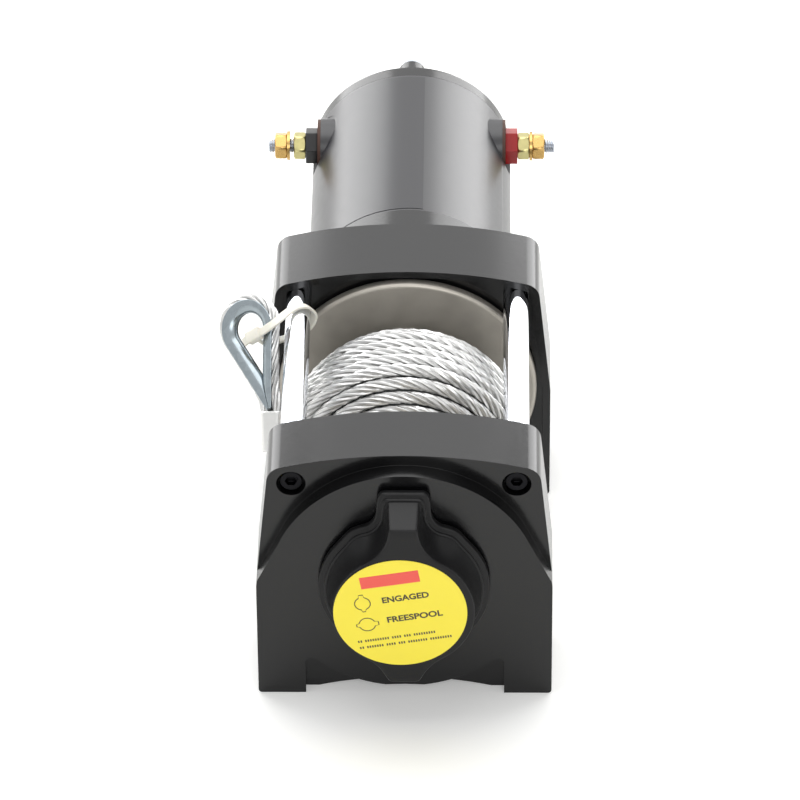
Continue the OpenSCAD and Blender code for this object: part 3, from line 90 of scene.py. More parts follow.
def add(tree, kind, links=None, **settings):
    """Adds one shader node. Each entry of links fills an input with a value or joins it to an output."""
    made = tree.nodes.new(kind)
    for name, value in settings.items():
        setattr(made, name, value)
    for socket, value in (links or {}).items():
        if isinstance(value, bpy.types.NodeSocket):
            tree.links.new(value, made.inputs[socket])
        else:
            made.inputs[socket].default_value = value
    return made


def finish(name, colour, roughness, metallic=0.0, grain=1 * MM, play=0.06, shade=0.12, relief=0.0, **more):
    """A material whose colour and roughness vary with noise.

    colour is a hex code or a colour of the settings, grain is the real size of the pattern, play the spread
    of the roughness, shade how much darker the dark spots are, and relief the depth of the surface's own
    unevenness. more fills the shader's other sockets. Returns the material, its tree and the parts that
    a special finish builds on.
    """
    bright = linear(colour) if isinstance(colour, str) else list(colour)
    material = bpy.data.materials.new(name)
    material.use_nodes = True
    tree = material.node_tree
    tree.nodes.clear()
    out = add(tree, "ShaderNodeOutputMaterial")
    place = add(tree, "ShaderNodeTexCoord").outputs["Object"]
    noise = add(tree, "ShaderNodeTexNoise", {"Vector": place, "Scale": 1 / grain, "Detail": 3.0})
    rough = add(
        tree,
        "ShaderNodeMapRange",
        {"Value": noise.outputs["Fac"], "To Min": roughness - play, "To Max": roughness + play},
    )
    dark = [c * (1 - shade) for c in bright[:3]] + [1.0]
    tone = add(
        tree,
        "ShaderNodeMix",
        {0: noise.outputs["Fac"], 6: dark, 7: bright},
        data_type="RGBA",
    )
    shader = add(
        tree,
        "ShaderNodeBsdfPrincipled",
        {
            "Base Color": tone.outputs[2],
            "Roughness": rough.outputs["Result"],
            "Metallic": metallic,
            **more,
        },
    )
    bump = add(tree, "ShaderNodeBump", {"Height": noise.outputs["Fac"], "Distance": relief})
    if relief:
        tree.links.new(bump.outputs["Normal"], shader.inputs["Normal"])
    tree.links.new(shader.outputs["BSDF"], out.inputs["Surface"])
    parts = {"place": place, "noise": noise, "rough": rough, "tone": tone, "shader": shader, "bump": bump}
    return material, tree, parts


# Materials, named for the real finish


def powder_coat():
    """Gloss black powder coat on cast aluminium: a faint orange peel softens what it reflects."""
    return finish(
        "gloss_black_powder_coat",
        settings().coat_colour,
        0.2,
        grain=1.6 * MM,
        play=0.05,
        relief=0.012 * MM,
        **{"Specular IOR Level": 0.42},
    )[0]


def can_paint():
    """Semi-gloss black paint on a rolled steel can: it greys where the light grazes it."""
    return finish(
        "black_can_paint",
        settings().can_colour,
        0.34,
        grain=2.2 * MM,
        play=0.04,
        relief=0.004 * MM,
        **{"Specular IOR Level": 0.62},
    )[0]


def chrome_plate():
    """Polished chrome plate on drawn rod: mirror bright, with hardly any drawing marks."""
    made, tree, parts = finish(
        "chrome_plate", "#e3e5ea", 0.07, metallic=1.0, grain=3 * MM, play=0.02, shade=0.03
    )
    stretch = add(tree, "ShaderNodeMapping", {"Vector": parts["place"], "Scale": (1.0, 0.03, 1.0)})
    tree.links.new(stretch.outputs["Vector"], parts["noise"].inputs["Vector"])
    return made


def about_axis(tree, place):
    """Distance from the drum's axis in x and place along it in y, so that a pattern makes rings."""
    centred = add(tree, "ShaderNodeMapping", {"Vector": place, "Location": (0.0, 0.0, -AXIS_Z)})
    split = add(tree, "ShaderNodeSeparateXYZ", {"Vector": centred.outputs["Vector"]})
    flat = add(tree, "ShaderNodeCombineXYZ", {"X": split.outputs["X"], "Z": split.outputs["Z"]})
    reach = add(tree, "ShaderNodeVectorMath", {0: flat.outputs["Vector"]}, operation="LENGTH")
    return add(tree, "ShaderNodeCombineXYZ", {"X": reach.outputs["Value"], "Y": split.outputs["Y"]})


def turned_steel(name="turned_bare_steel", colour="#b4afa6", roughness=0.44):
    """Bare turned steel, a little brown with age: fine tool rings about the axis under a cloudy film."""
    made, tree, parts = finish(name, colour, roughness, metallic=0.7, grain=7 * MM, play=0.08, shade=0.22)
    turned = about_axis(tree, parts["place"]).outputs["Vector"]
    rings = add(tree, "ShaderNodeTexNoise", {"Vector": turned, "Scale": 1 / (0.5 * MM), "Detail": 2.0})
    tree.links.new(rings.outputs["Fac"], parts["bump"].inputs["Height"])
    parts["bump"].inputs["Distance"].default_value = 0.012 * MM
    tree.links.new(parts["bump"].outputs["Normal"], parts["shader"].inputs["Normal"])
    return made


def rope_wire():
    """Galvanised rope strands: bright wires side by side, drawn twice as thick as real so that they show."""
    colour = settings().rope_colour
    made, tree, parts = finish("galvanised_rope_wire", colour, 0.34, metallic=1.0, grain=5 * MM, play=0.06)
    lay = add(tree, "ShaderNodeUVMap", uv_map="lay")
    wires = add(
        tree,
        "ShaderNodeTexWave",
        {"Vector": lay.outputs["UV"], "Scale": 1.0, "Distortion": 0.0},
        wave_type="BANDS",
        bands_direction="DIAGONAL",
    )
    tree.links.new(wires.outputs["Fac"], parts["bump"].inputs["Height"])
    parts["bump"].inputs["Distance"].default_value = 0.09 * MM
    tree.links.new(parts["bump"].outputs["Normal"], parts["shader"].inputs["Normal"])
    return made


def galvanised_sheet():
    """Bright galvanised pressed sheet: bluish, with soft zinc spangle."""
    made, tree, parts = finish("galvanised_sheet", "#98a1a6", 0.25, metallic=1.0, grain=4 * MM, play=0.05)
    spangle = add(tree, "ShaderNodeTexVoronoi", {"Vector": parts["place"], "Scale": 1 / (2.5 * MM)})
    split = add(tree, "ShaderNodeSeparateColor", {"Color": spangle.outputs["Color"]})
    tree.links.new(split.outputs["Red"], parts["tone"].inputs[0])
    return made


def pressed_aluminium():
    """Pressed aluminium sleeve: pale, soft and slightly dented by the press."""
    return finish("pressed_aluminium", "#dcdcda", 0.38, metallic=1.0, grain=2.5 * MM, relief=0.08 * MM)[0]


def nylon_tie():
    """Natural nylon, moulded: ivory and slightly see-through at its edges."""
    return finish(
        "natural_nylon",
        "#ece9dd",
        0.4,
        grain=3 * MM,
        shade=0.04,
        **{"Subsurface Weight": 0.15, "Subsurface Radius": (0.002, 0.0015, 0.001)},
    )[0]


def knob_plastic():
    """Black glass-filled plastic, moulded in a finely etched tool: satin, and never quite black."""
    return finish(
        "satin_black_plastic",
        settings().knob_colour,
        0.38,
        grain=0.5 * MM,
        play=0.06,
        relief=0.02 * MM,
        **{"Specular IOR Level": 0.25},
    )[0]


def vinyl(name, colour, roughness=0.3):
    """Printed vinyl film with a clear face: an even colour under a soft shine."""
    return finish(name, colour, roughness, grain=4 * MM, play=0.04, shade=0.03, **{"Coat Weight": 0.2})[0]


def label_film():
    """Dark printed film on the can, left bare: smoother than the paint and a little paler."""
    return finish("dark_label_film", "#232327", 0.3, grain=5 * MM, play=0.04, shade=0.05)[0]


def moulded(name, colour, roughness=0.32):
    """Hard moulded plastic, as in insulators and bushes: soft highlights on a faintly uneven skin."""
    return finish(name, colour, roughness, grain=1.5 * MM, play=0.05, relief=0.01 * MM)[0]


def metal(name, colour, roughness, grain=1.2 * MM, shade=0.14, relief=0.0):
    """A plain metal face, plated, machined or sintered, with stains at the grain's size."""
    return finish(name, colour, roughness, metallic=1.0, grain=grain, shade=shade, relief=relief)[0]


def board(name, colour):
    """Pressed fibre board or carbon: dull, with short dark fibres."""
    return finish(name, colour, 0.62, grain=0.8 * MM, shade=0.35, relief=0.03 * MM)[0]


# Mesh helpers


def place_mesh(name, mesh, material, body):
    """Makes a mesh an object in one material that rides on a CAD body."""
    mesh.materials.clear()
    mesh.materials.append(material)
    made = bpy.data.objects.new(name, mesh)
    bpy.context.scene.collection.objects.link(made)
    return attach(made, body)


def piece(name, points, faces, material, body, uv=None, smooth=True):
    """Puts points and faces into one object that rides on a CAD body. uv holds one pair for each corner."""
    mesh = bpy.data.meshes.new(name)
    mesh.from_pydata(np.asarray(points, float), [], faces.tolist() if hasattr(faces, "tolist") else faces)
    mesh.polygons.foreach_set("use_smooth", np.full(len(mesh.polygons), smooth))
    if uv is not None:
        layer = mesh.uv_layers.new(name="lay")
        layer.data.foreach_set("uv", np.asarray(uv, np.float32).ravel())
    mesh.update()
    return place_mesh(name, mesh, material, body)


def get_points(mesh):
    """The mesh's points as one array."""
    points = np.empty(len(mesh.vertices) * 3, np.float32)
    mesh.vertices.foreach_get("co", points)
    return points.reshape(-1, 3).astype(float)


def set_points(mesh, points):
    """Puts the mesh's points where the array says."""
    mesh.vertices.foreach_set("co", points.astype(np.float32).ravel())
    mesh.update()


def grid_faces(rows, cols, closed_rows=False, closed_cols=True):
    """Quads of a grid of rows by cols points, wound so that row x column points outwards."""
    r = np.arange(rows if closed_rows else rows - 1)[:, None]
    c = np.arange(cols if closed_cols else cols - 1)[None, :]
    after_r, after_c = (r + 1) % rows, (c + 1) % cols
    quads = [r * cols + c, r * cols + after_c, after_r * cols + after_c, after_r * cols + c]
    return np.stack([np.broadcast_to(q, (len(r), c.size)) for q in quads], -1).reshape(-1, 4)


def caps(rows, cols):
    """Fans that close the first and the last row of a tube, about one point added for each end."""
    c = np.arange(cols)
    after = (c + 1) % cols
    first, last = rows * cols, rows * cols + 1
    tail = (rows - 1) * cols
    return np.concatenate(
        [
            np.stack([np.full(cols, first), after, c], -1),
            np.stack([np.full(cols, last), tail + c, tail + after], -1),
        ]
    )


def unit(v):
    """Vectors scaled to length one."""
    v = np.asarray(v, float)
    return v / np.linalg.norm(v, axis=-1, keepdims=True)


def frames(path, reference):
    """Tangent t, normal n and binormal t x n at each point: n is the reference made square to t."""
    t = unit(np.gradient(path, axis=0))
    reference = np.broadcast_to(reference, path.shape)
    n = unit(reference - np.sum(reference * t, -1, keepdims=True) * t)
    return t, n, np.cross(t, n)


def sweep(path, reference, profile):
    """Points of a profile carried along a path: p + x n + y b for each profile point (x, y) of each row."""
    _, n, b = frames(path, reference)
    profile = np.broadcast_to(profile, (len(path),) + np.shape(profile)[-2:])
    return path[:, None] + profile[..., :1] * n[:, None] + profile[..., 1:] * b[:, None]


def tube_piece(name, path, reference, profile, material, body, uv=None):
    """A closed tube of any profile along a path, with an end cap at each end."""
    rows = sweep(path, reference, profile)
    count, cols = rows.shape[:2]
    ends = [rows[0].mean(0), rows[-1].mean(0)]
    quads = grid_faces(count, cols)
    faces = quads.tolist() + caps(count, cols).tolist()
    if uv is not None:
        at_ends = np.zeros(((len(faces) - len(quads)) * 3, 2))
        uv = np.concatenate([uv[quads].reshape(-1, 2), at_ends])
    return piece(name, np.concatenate([rows.reshape(-1, 3), ends]), faces, material, body, uv)


def evenly(path, step):
    """The same line with its points a step apart, found by its running length."""
    path = np.asarray(path, float)
    run = np.concatenate([[0], np.cumsum(np.linalg.norm(np.diff(path, axis=0), axis=1))])
    at = np.linspace(0, run[-1], max(2, int(round(run[-1] / step)) + 1))
    return np.stack([np.interp(at, run, path[:, k]) for k in range(3)], -1)


def curve_through(points, steps=12):
    """A smooth line through points: a Catmull-Rom cubic between each two, weighted by its neighbours."""
    p = np.asarray(points, float)
    p = np.concatenate([[2 * p[0] - p[1]], p, [2 * p[-1] - p[-2]]])
    t = np.linspace(0, 1, steps, endpoint=False)[None, :, None]
    a, b, c, d = (p[i : len(p) - 3 + i][:, None] for i in range(4))
    line = 0.5 * (2 * b + (c - a) * t + (2 * a - 5 * b + 4 * c - d) * t**2 + (3 * b - a - 3 * c + d) * t**3)
    return np.concatenate([line.reshape(-1, 3), p[-2:-1]])


STRANDS = 6
STRAND_ANGLES = np.radians([-104, -70, -35, 0, 35, 70, 104])
WIRE_BANDS = 3.0
WIRE_LAY = 12 * MM


def rope_piece(name, path, reference, body, radius, lay, material):
    """A laid rope along a path.

    Six round strands of a third of the rope's radius stand on a circle of two thirds of it, and the
    ring of strands turns once in each lay's length. A point is at the strand's middle plus its own
    radius at an angle up to 104 degrees either side, so neighbours meet in a valley.
    """
    along = np.concatenate([[0], np.cumsum(np.linalg.norm(np.diff(path, axis=0), axis=1))])
    middle = FULL_TURN * np.arange(STRANDS) / STRANDS
    turn = middle[None, :, None] + (FULL_TURN * along / lay)[:, None, None]
    own = turn + STRAND_ANGLES[None, None, :]
    ring, strand = radius * 2 / 3, radius / 3
    x = (ring * np.cos(turn) + strand * np.cos(own)).reshape(len(path), -1)
    y = (ring * np.sin(turn) + strand * np.sin(own)).reshape(len(path), -1)
    wires = np.broadcast_to(STRAND_ANGLES / FULL_TURN, (len(path), STRANDS, len(STRAND_ANGLES)))
    u = wires.reshape(len(path), -1) * WIRE_BANDS
    v = np.broadcast_to((along / WIRE_LAY)[:, None], u.shape)
    uv = np.stack([u, v], -1).reshape(-1, 2)
    return tube_piece(name, path, reference, np.stack([x, y], -1), material, body, uv)


# Copies of CAD nodes: points nearer than MERGE become one, and faces flatter than FLAT_ANGLE too
MERGE = 0.002 * MM
FLAT_ANGLE = math.radians(0.6)
SHARP_EDGE = math.radians(32)


def merged_mesh(node, flatten=False):
    """A copy of a CAD node's mesh with its triangles merged, and its flat faces too where flatten is set."""
    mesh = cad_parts[node].data.copy()
    net = bmesh.new()
    net.from_mesh(mesh)
    bmesh.ops.remove_doubles(net, verts=net.verts, dist=MERGE)
    if flatten:
        bmesh.ops.dissolve_degenerate(net, dist=MERGE, edges=net.edges)
        bmesh.ops.dissolve_limit(net, angle_limit=FLAT_ANGLE, verts=net.verts, edges=net.edges)
        bmesh.ops.recalc_face_normals(net, faces=net.faces)
    net.to_mesh(mesh)
    net.free()
    return mesh


def rounded_copy(node, edge, material, body, steps=3):
    """A copy of a CAD node with its sharp edges rounded, which stands for the node."""
    mesh = merged_mesh(node, flatten=True)
    mesh.polygons.foreach_set("use_smooth", np.full(len(mesh.polygons), True))
    made = place_mesh(node + "_finished", mesh, material, body)
    bevel = made.modifiers.new("edges", "BEVEL")
    bevel.width = edge
    bevel.segments = steps
    bevel.limit_method = "ANGLE"
    bevel.angle_limit = SHARP_EDGE
    bevel.use_clamp_overlap = True
    bevel.miter_outer = "MITER_ARC"
    even = made.modifiers.new("flats", "WEIGHTED_NORMAL")
    even.keep_sharp = True
    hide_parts(node)
    return made


def plain_copy(node, material, body):
    """A copy of a CAD node, with its points merged, that stands for it."""
    made = place_mesh(node + "_finished", merged_mesh(node), material, body)
    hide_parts(node)
    return made


def dress(nodes, material):
    """Gives CAD nodes that stay as they are their material."""
    for node in nodes:
        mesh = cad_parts[node].data
        mesh.materials.clear()
        mesh.materials.append(material)


# Rope: its radius, its radius where turns press on each other, and the step from turn to turn
ROPE_R = 2.4 * MM
FULL_ROPE_R = 2.66 * MM
STEP = 5.45 * MM
LOW_R = 26.5 * MM - ROPE_R
HIGH_R = 46.9 * MM - ROPE_R
START_ANGLE = math.radians(200)
# The mound climbs from -RISE to CREST, slopes down and falls off from FALL, in shares of half its length
CREST, RISE, FALL, FALL_LENGTH, SLOPE, FALL_DEPTH = -0.01, 0.72, 0.45, 0.733, 0.14, 1.03
WIND_STEPS = 200
TURN_RINGS, RING_STEPS = 24, 8


def ease(t):
    """Half a cosine wave from 0 to 1."""
    return (1 - np.cos(math.pi * np.clip(t, 0, 1))) / 2


def mound_share(u):
    """Height of the wound rope's mound, from 0 to 1, at a place u from -1 to 1 between the flanges."""
    climb = ease((u + RISE) / (CREST + RISE))
    drop = 1 - SLOPE * (u - CREST) - FALL_DEPTH * ease((u - FALL) / FALL_LENGTH)
    return np.where(u < CREST, climb, drop)


def wound_path(step):
    """Centre line of the outer turns: a helix about the drum's axis whose radius follows the mound.

    The running length along the mound's own outline, divided by the rope's step, gives the turns.
    """
    near, far = (corner.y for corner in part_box("rope_core"))
    mid, half = (near + far) / 2, (far - near) / 2 - ROPE_R
    u = np.linspace(-1, 1, WIND_STEPS + 1)
    y, r = mid + u * half, LOW_R + (HIGH_R - LOW_R) * mound_share(u)
    run = np.concatenate([[0], np.cumsum(np.hypot(np.diff(y), np.diff(r)))])
    rings = int(run[-1] / STEP * TURN_RINGS)
    turns = np.linspace(0, rings / TURN_RINGS, rings * RING_STEPS + 1)
    here = np.interp(turns * STEP, run, u)
    r = LOW_R + (HIGH_R - LOW_R) * mound_share(here)
    a = START_ANGLE + FULL_TURN * turns
    line = np.stack([r * np.cos(a), mid + here * half, AXIS_Z + r * np.sin(a)], -1)
    first = line[:1] + 2 * ROPE_R * unit(line[:1] - line[1:2])
    last = line[-1:] + 2 * ROPE_R * unit(line[-1:] - line[-2:-1])
    return evenly(np.concatenate([first, line, last]), step)


# Hook end, where the CAD source has it, with the crown 0.7 mm further out. EYE_TIP is where the eye's two
# legs meet at the ferrule, and the eye lies in the plane of EYE_UP and EYE_SIDE
EYE_TIP = np.array([-52.3, 6.5, 74.5]) * MM
EYE_CROWN = np.array([-61.6, 31.3, 96.1]) * MM
EYE_UP = unit(EYE_CROWN - EYE_TIP)
EYE_LEAN = np.array([0.866, -0.33, 0.375])
EYE_SIDE = unit(EYE_LEAN - (EYE_LEAN @ EYE_UP) * EYE_UP)
EYE_NORMAL = np.cross(EYE_SIDE, EYE_UP)
EYE_L = float(np.linalg.norm(EYE_CROWN - EYE_TIP))
EYE_R = 10.7 * MM
CROWN_LIFT = 1.4 * MM
EYE_HALF = math.asin(EYE_R / EYE_L)
FERRULE_UP = unit(np.array([-0.04, 0.6, 0.8]))
FERRULE_SIDE = unit(EYE_SIDE - (EYE_SIDE @ FERRULE_UP) * FERRULE_UP)
FERRULE_L = 16 * MM
# Half the distance between the two legs in the ferrule, and how far the drawn legs reach into it
LEG_OFFSET = ROPE_R + 0.25 * MM
LEG_BURIED = 4 * MM
# Thimble: its groove's radius, half width, back's depth, the lips over the groove's middle, the height of
# its feet over the ferrule and half the gap between its legs
THIMBLE_GROOVE, THIMBLE_HALF_W, THIMBLE_BACK, THIMBLE_LIP = ROPE_R + 0.15 * MM, 3.25 * MM, 4.5 * MM, 0.5 * MM
THIMBLE_FOOT, THIMBLE_MITRE = 0.8 * MM, 0.06 * MM
# Rope from the ferrule down beside the drum, to its outer turns
TAIL_ROUTE = (
    np.array(
        [
            [-51.2, -9.5, 51],
            [-49, -13.6, 43.5],
            [-45.5, -17.5, 36],
            [-41, -21.3, 29.5],
            [-35, -24.7, 24.5],
            [-28, -27.4, 21.5],
            [-20, -29.3, 20.5],
            [-12, -30.6, 22],
            [-4, -31.1, 24.5],
        ]
    )
    * MM
)


def eye_points(side, up):
    """Points in the eye's plane, from their distances to the side of its tip and above it."""
    return EYE_TIP + np.multiply.outer(side, EYE_SIDE) + np.multiply.outer(up, EYE_UP)


def eye_arc(radius, start, steps=48):
    """A drop's outline: a straight leg up from start, the crown's arc and the other leg down."""
    leg = np.linspace(start, EYE_L * math.cos(EYE_HALF) ** 2, 16)[:-1]
    a = np.linspace(-EYE_HALF, math.pi + EYE_HALF, steps)
    wide = leg * math.tan(EYE_HALF)
    shift = (radius - EYE_R) / math.cos(EYE_HALF)
    side = np.concatenate([wide + shift, radius * np.cos(a), -(wide + shift)[::-1]])
    up = np.concatenate([leg, EYE_L + radius * np.sin(a), leg[::-1]])
    return eye_points(side, up)


def softened(path, width):
    """The path with each point at the mean of its neighbours, so that corners turn in a curve."""
    spread = np.ones(width) / width
    padded = np.concatenate([np.repeat(path[:1], width // 2, 0), path, np.repeat(path[-1:], width // 2, 0)])
    return np.stack([np.convolve(padded[:, k], spread, "valid") for k in range(3)], -1)


def eye_path(step):
    """Centre line of the rope's eye: out of the ferrule, up one leg, round the crown and back.

    Over the crown the rope stands up from the thimble's groove by CROWN_LIFT, as a stiff rope does.
    """
    meets = LEG_OFFSET / math.tan(EYE_HALF)
    drop = eye_arc(EYE_R, meets)
    away = drop - eye_points(0.0, EYE_L)
    lift = CROWN_LIFT * ease((away @ EYE_UP) / EYE_R + 0.5)
    drop = drop + lift[:, None] * unit(away)
    foot = [EYE_TIP + s * LEG_OFFSET * FERRULE_SIDE for s in (1, -1)]
    down = [p - LEG_BURIED * FERRULE_UP for p in foot]
    line = np.concatenate([[down[0], foot[0]], drop, [foot[1], down[1]]])
    return softened(evenly(line, step), 7)


def tail_path(step):
    """Centre line of the rope from the ferrule down beside the drum to the turns it comes from."""
    foot = EYE_TIP - FERRULE_L * FERRULE_UP
    start = [foot + LEG_BURIED * FERRULE_UP, foot, foot - 2 * ROPE_R * FERRULE_UP]
    return evenly(curve_through(np.concatenate([start, TAIL_ROUTE])), step)


def thimble_piece(material):
    """A rolled thimble: a groove of the rope's radius inside a rounded back, carried round the eye.

    The profile is the groove's half circle, a round lip each side, and half an ellipse for the back.
    Where the legs come together, both are cut off along the eye's middle line.
    """
    groove, half_w, back, lip = THIMBLE_GROOVE, THIMBLE_HALF_W, THIMBLE_BACK, THIMBLE_LIP
    a = np.linspace(math.pi, FULL_TURN, 19)
    inner = np.stack([groove * np.cos(a), groove * np.sin(a)], -1)
    inner = np.concatenate([[[-groove, lip]], inner, [[groove, lip]]])
    middle, reach = (groove + half_w) / 2, (half_w - groove) / 2
    a = np.linspace(math.pi, 0, 7)[1:-1]
    right = np.stack([middle + reach * np.cos(a), lip + reach * np.sin(a)], -1)
    a = np.linspace(0, math.pi, 25)
    outer = np.stack([half_w * np.cos(a), -back * np.sin(a)], -1)
    left = np.stack([-middle + reach * np.cos(a[::4])[1:-1], lip + reach * np.sin(a[::4])[1:-1]], -1)
    profile = np.concatenate([inner, right, [[half_w, lip]], outer, [[-half_w, lip]], left[::-1]])
    path = evenly(eye_arc(EYE_R, THIMBLE_FOOT), 0.8 * MM)
    made = tube_piece("thimble_rolled", path, EYE_NORMAL, profile[::-1], material, ROOT)
    points = get_points(made.data)
    # Row of each point: the last two points are the middles of the first and the last row
    ring = np.minimum(np.arange(len(points)) // len(profile), len(path) - 1)
    ring[-2] = 0
    way = np.sign((path - EYE_TIP) @ EYE_SIDE)[ring]
    in_leg = ((path - EYE_TIP) @ EYE_UP)[ring] < EYE_L * math.cos(EYE_HALF) ** 2
    short = np.clip(THIMBLE_MITRE - way * ((points - EYE_TIP) @ EYE_SIDE), 0, None) * in_leg
    set_points(made.data, points + (short * way)[:, None] * EYE_SIDE)
    return made


# Cable tie: from the tail's end through the head, over the rope and the rod, and back from below
TIE_LINE = (
    np.array(
        [
            [-64, 26, 93.4],
            [-62.6, 25.6, 95],
            [-59.5, 24.8, 97.7],
            [-56.3, 24.3, 100.4],
            [-51.9, 25.4, 103.4],
            [-46.9, 32.6, 103.3],
            [-43, 36, 103.6],
            [-39.4, 37.6, 102.4],
            [-36.7, 38.5, 98.6],
            [-37.6, 38, 94.2],
            [-41, 36.6, 91.2],
            [-45.5, 33.5, 91],
            [-49.8, 29.2, 92.4],
            [-53.8, 27.8, 92],
            [-57, 26, 93.4],
            [-59.6, 25, 96.4],
        ]
    )
    * MM
)
TIE_ACROSS = unit(np.array([0.63, -0.78, 0.0]))
TIE_STRAP, TIE_HEAD = (1.7 * MM, 0.55 * MM), (2.4 * MM, 1.9 * MM)
TIE_HEAD_ENDS = np.array([[-62.3, 25.6, 95.2], [-57.4, 24.5, 99.5]]) * MM
TIE_ROUND = 0.3
# Places along the head's line, and the head's size there: its two ends are drawn in a little
HEAD_SHARES, HEAD_ENDS = np.array([0, 0.08, 0.92, 1]), np.array([0.86, 1, 1, 0.86])


def round_bar(half_w, half_t, power):
    """Outline of a bar with rounded corners: a superellipse, the sign and the power of cos and sin."""
    a = FULL_TURN * np.arange(24) / 24
    c, s = np.cos(a), np.sin(a)
    return np.stack([half_w * np.sign(c) * np.abs(c) ** power, half_t * np.sign(s) * np.abs(s) ** power], -1)


def tie_pieces(material):
    """The cable tie's strap, a flat bar carried along its loop, and its block-shaped head."""
    strap = round_bar(*TIE_STRAP, TIE_ROUND)
    path = evenly(curve_through(TIE_LINE), 0.6 * MM)
    made = [tube_piece("tie_strap", path, TIE_ACROSS, strap, material, ROOT)]
    line = TIE_HEAD_ENDS[0] + HEAD_SHARES[:, None] * (TIE_HEAD_ENDS[1] - TIE_HEAD_ENDS[0])
    block = round_bar(*TIE_HEAD, TIE_ROUND) * HEAD_ENDS[:, None, None]
    made.append(tube_piece("tie_head", line, TIE_ACROSS, block, material, ROOT))
    for shown in made:
        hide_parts("zip_tie")


# Clutch knob: every outline is a circle with an upper and a lower pointer
# Places along the axis: the lip's back and front, the flat front, the front's inside and the hub's end
KNOB_BACK, KNOB_LIP, KNOB_FRONT, KNOB_INSIDE = -77.3 * MM, -80.3 * MM, -95 * MM, -92 * MM
HUB_END = -76.9 * MM
# Height of the step on the lip
KNOB_STEP = 1.3 * MM
# Radius, half width and reach of the upper pointer, the same of the lower one, and the fillets' radius
LIP = (33, 10.5, 46, 8, 43, 9)
STEP_RIM = (30.8, 8.7, 44.2, 6.8, 41, 11)
PLATEAU = (27.2, 5.6, 40, 5.5, 34.5, 20)
SHOULDER, SHOULDER_ANGLE, SHOULDER_SPREAD = 1.1 * MM, math.radians(36), math.radians(8)
SOFT_CORNER, CRISP_CORNER = 11, 26
KNOB_COLUMNS = 720
WALL_ROWS = 14
WALL_HOLLOW = 2.4
# Half the angle of each pointer's flat slope, the width of its edge and the lower one's shorter angle
SLOPE_ANGLE, SLOPE_EDGE, SLOPE_LESS = math.radians(8), math.radians(0.8), math.radians(1)
RIM, BEAD, SMALL = 0.6 * MM, 0.5 * MM, 0.18 * MM
SCREW_HEAD_R, SCREW_SINK, SCREW_R = 5.3 * MM, 1.4 * MM, 2.56 * MM
HUB_BORE_R, HUB_R, KNOB_HOLLOW_R = 9.06 * MM, 12.06 * MM, 27 * MM
KNOB_SHARP = math.radians(50)


def pointer_radius(a, radius, half_w, reach, fillet, corner):
    """Radius of a pointer at an angle a from its own axis.

    Its end, reach over cos a, and its side, half_w over sin a, are joined by a power mean that rounds
    the corner, the more the lower corner is. A fillet's arc then runs from the side to the round part.
    """
    a = np.abs(a)
    rise = math.sqrt((radius + fillet) ** 2 - (half_w + fillet) ** 2)
    near = (half_w + fillet) * np.sin(a) + rise * np.cos(a)
    arc = near - np.sqrt(np.clip(near**2 - (radius + fillet) ** 2 + fillet**2, 0, None))
    end = np.clip(np.cos(a), 0.01, None) / reach
    side = np.clip(np.sin(a), 0.0001, None) / half_w
    wall = np.where(a < math.atan2(half_w, rise), side, 1 / np.maximum(arc, radius))
    tip = np.maximum((end**corner + wall**corner) ** (-1 / corner), radius)
    return np.where(a < math.atan2(half_w + fillet, rise), tip, radius)


def knob_outline(sizes, grow=0.0, columns=KNOB_COLUMNS, corner=SOFT_CORNER):
    """Radius table of an outline over the angle from straight up, made larger by grow all round."""
    radius, half_w, reach, tail_w, tail_reach, fillet = (s * MM for s in sizes)
    a = np.linspace(-math.pi, math.pi, columns, endpoint=False)
    round_part, curve = radius + grow, fillet - grow
    upper = pointer_radius(a, round_part, half_w + grow, reach + grow, curve, corner)
    lower = pointer_radius(math.pi - np.abs(a), round_part, tail_w + grow, tail_reach + grow, curve, corner)
    return np.maximum(upper, lower)


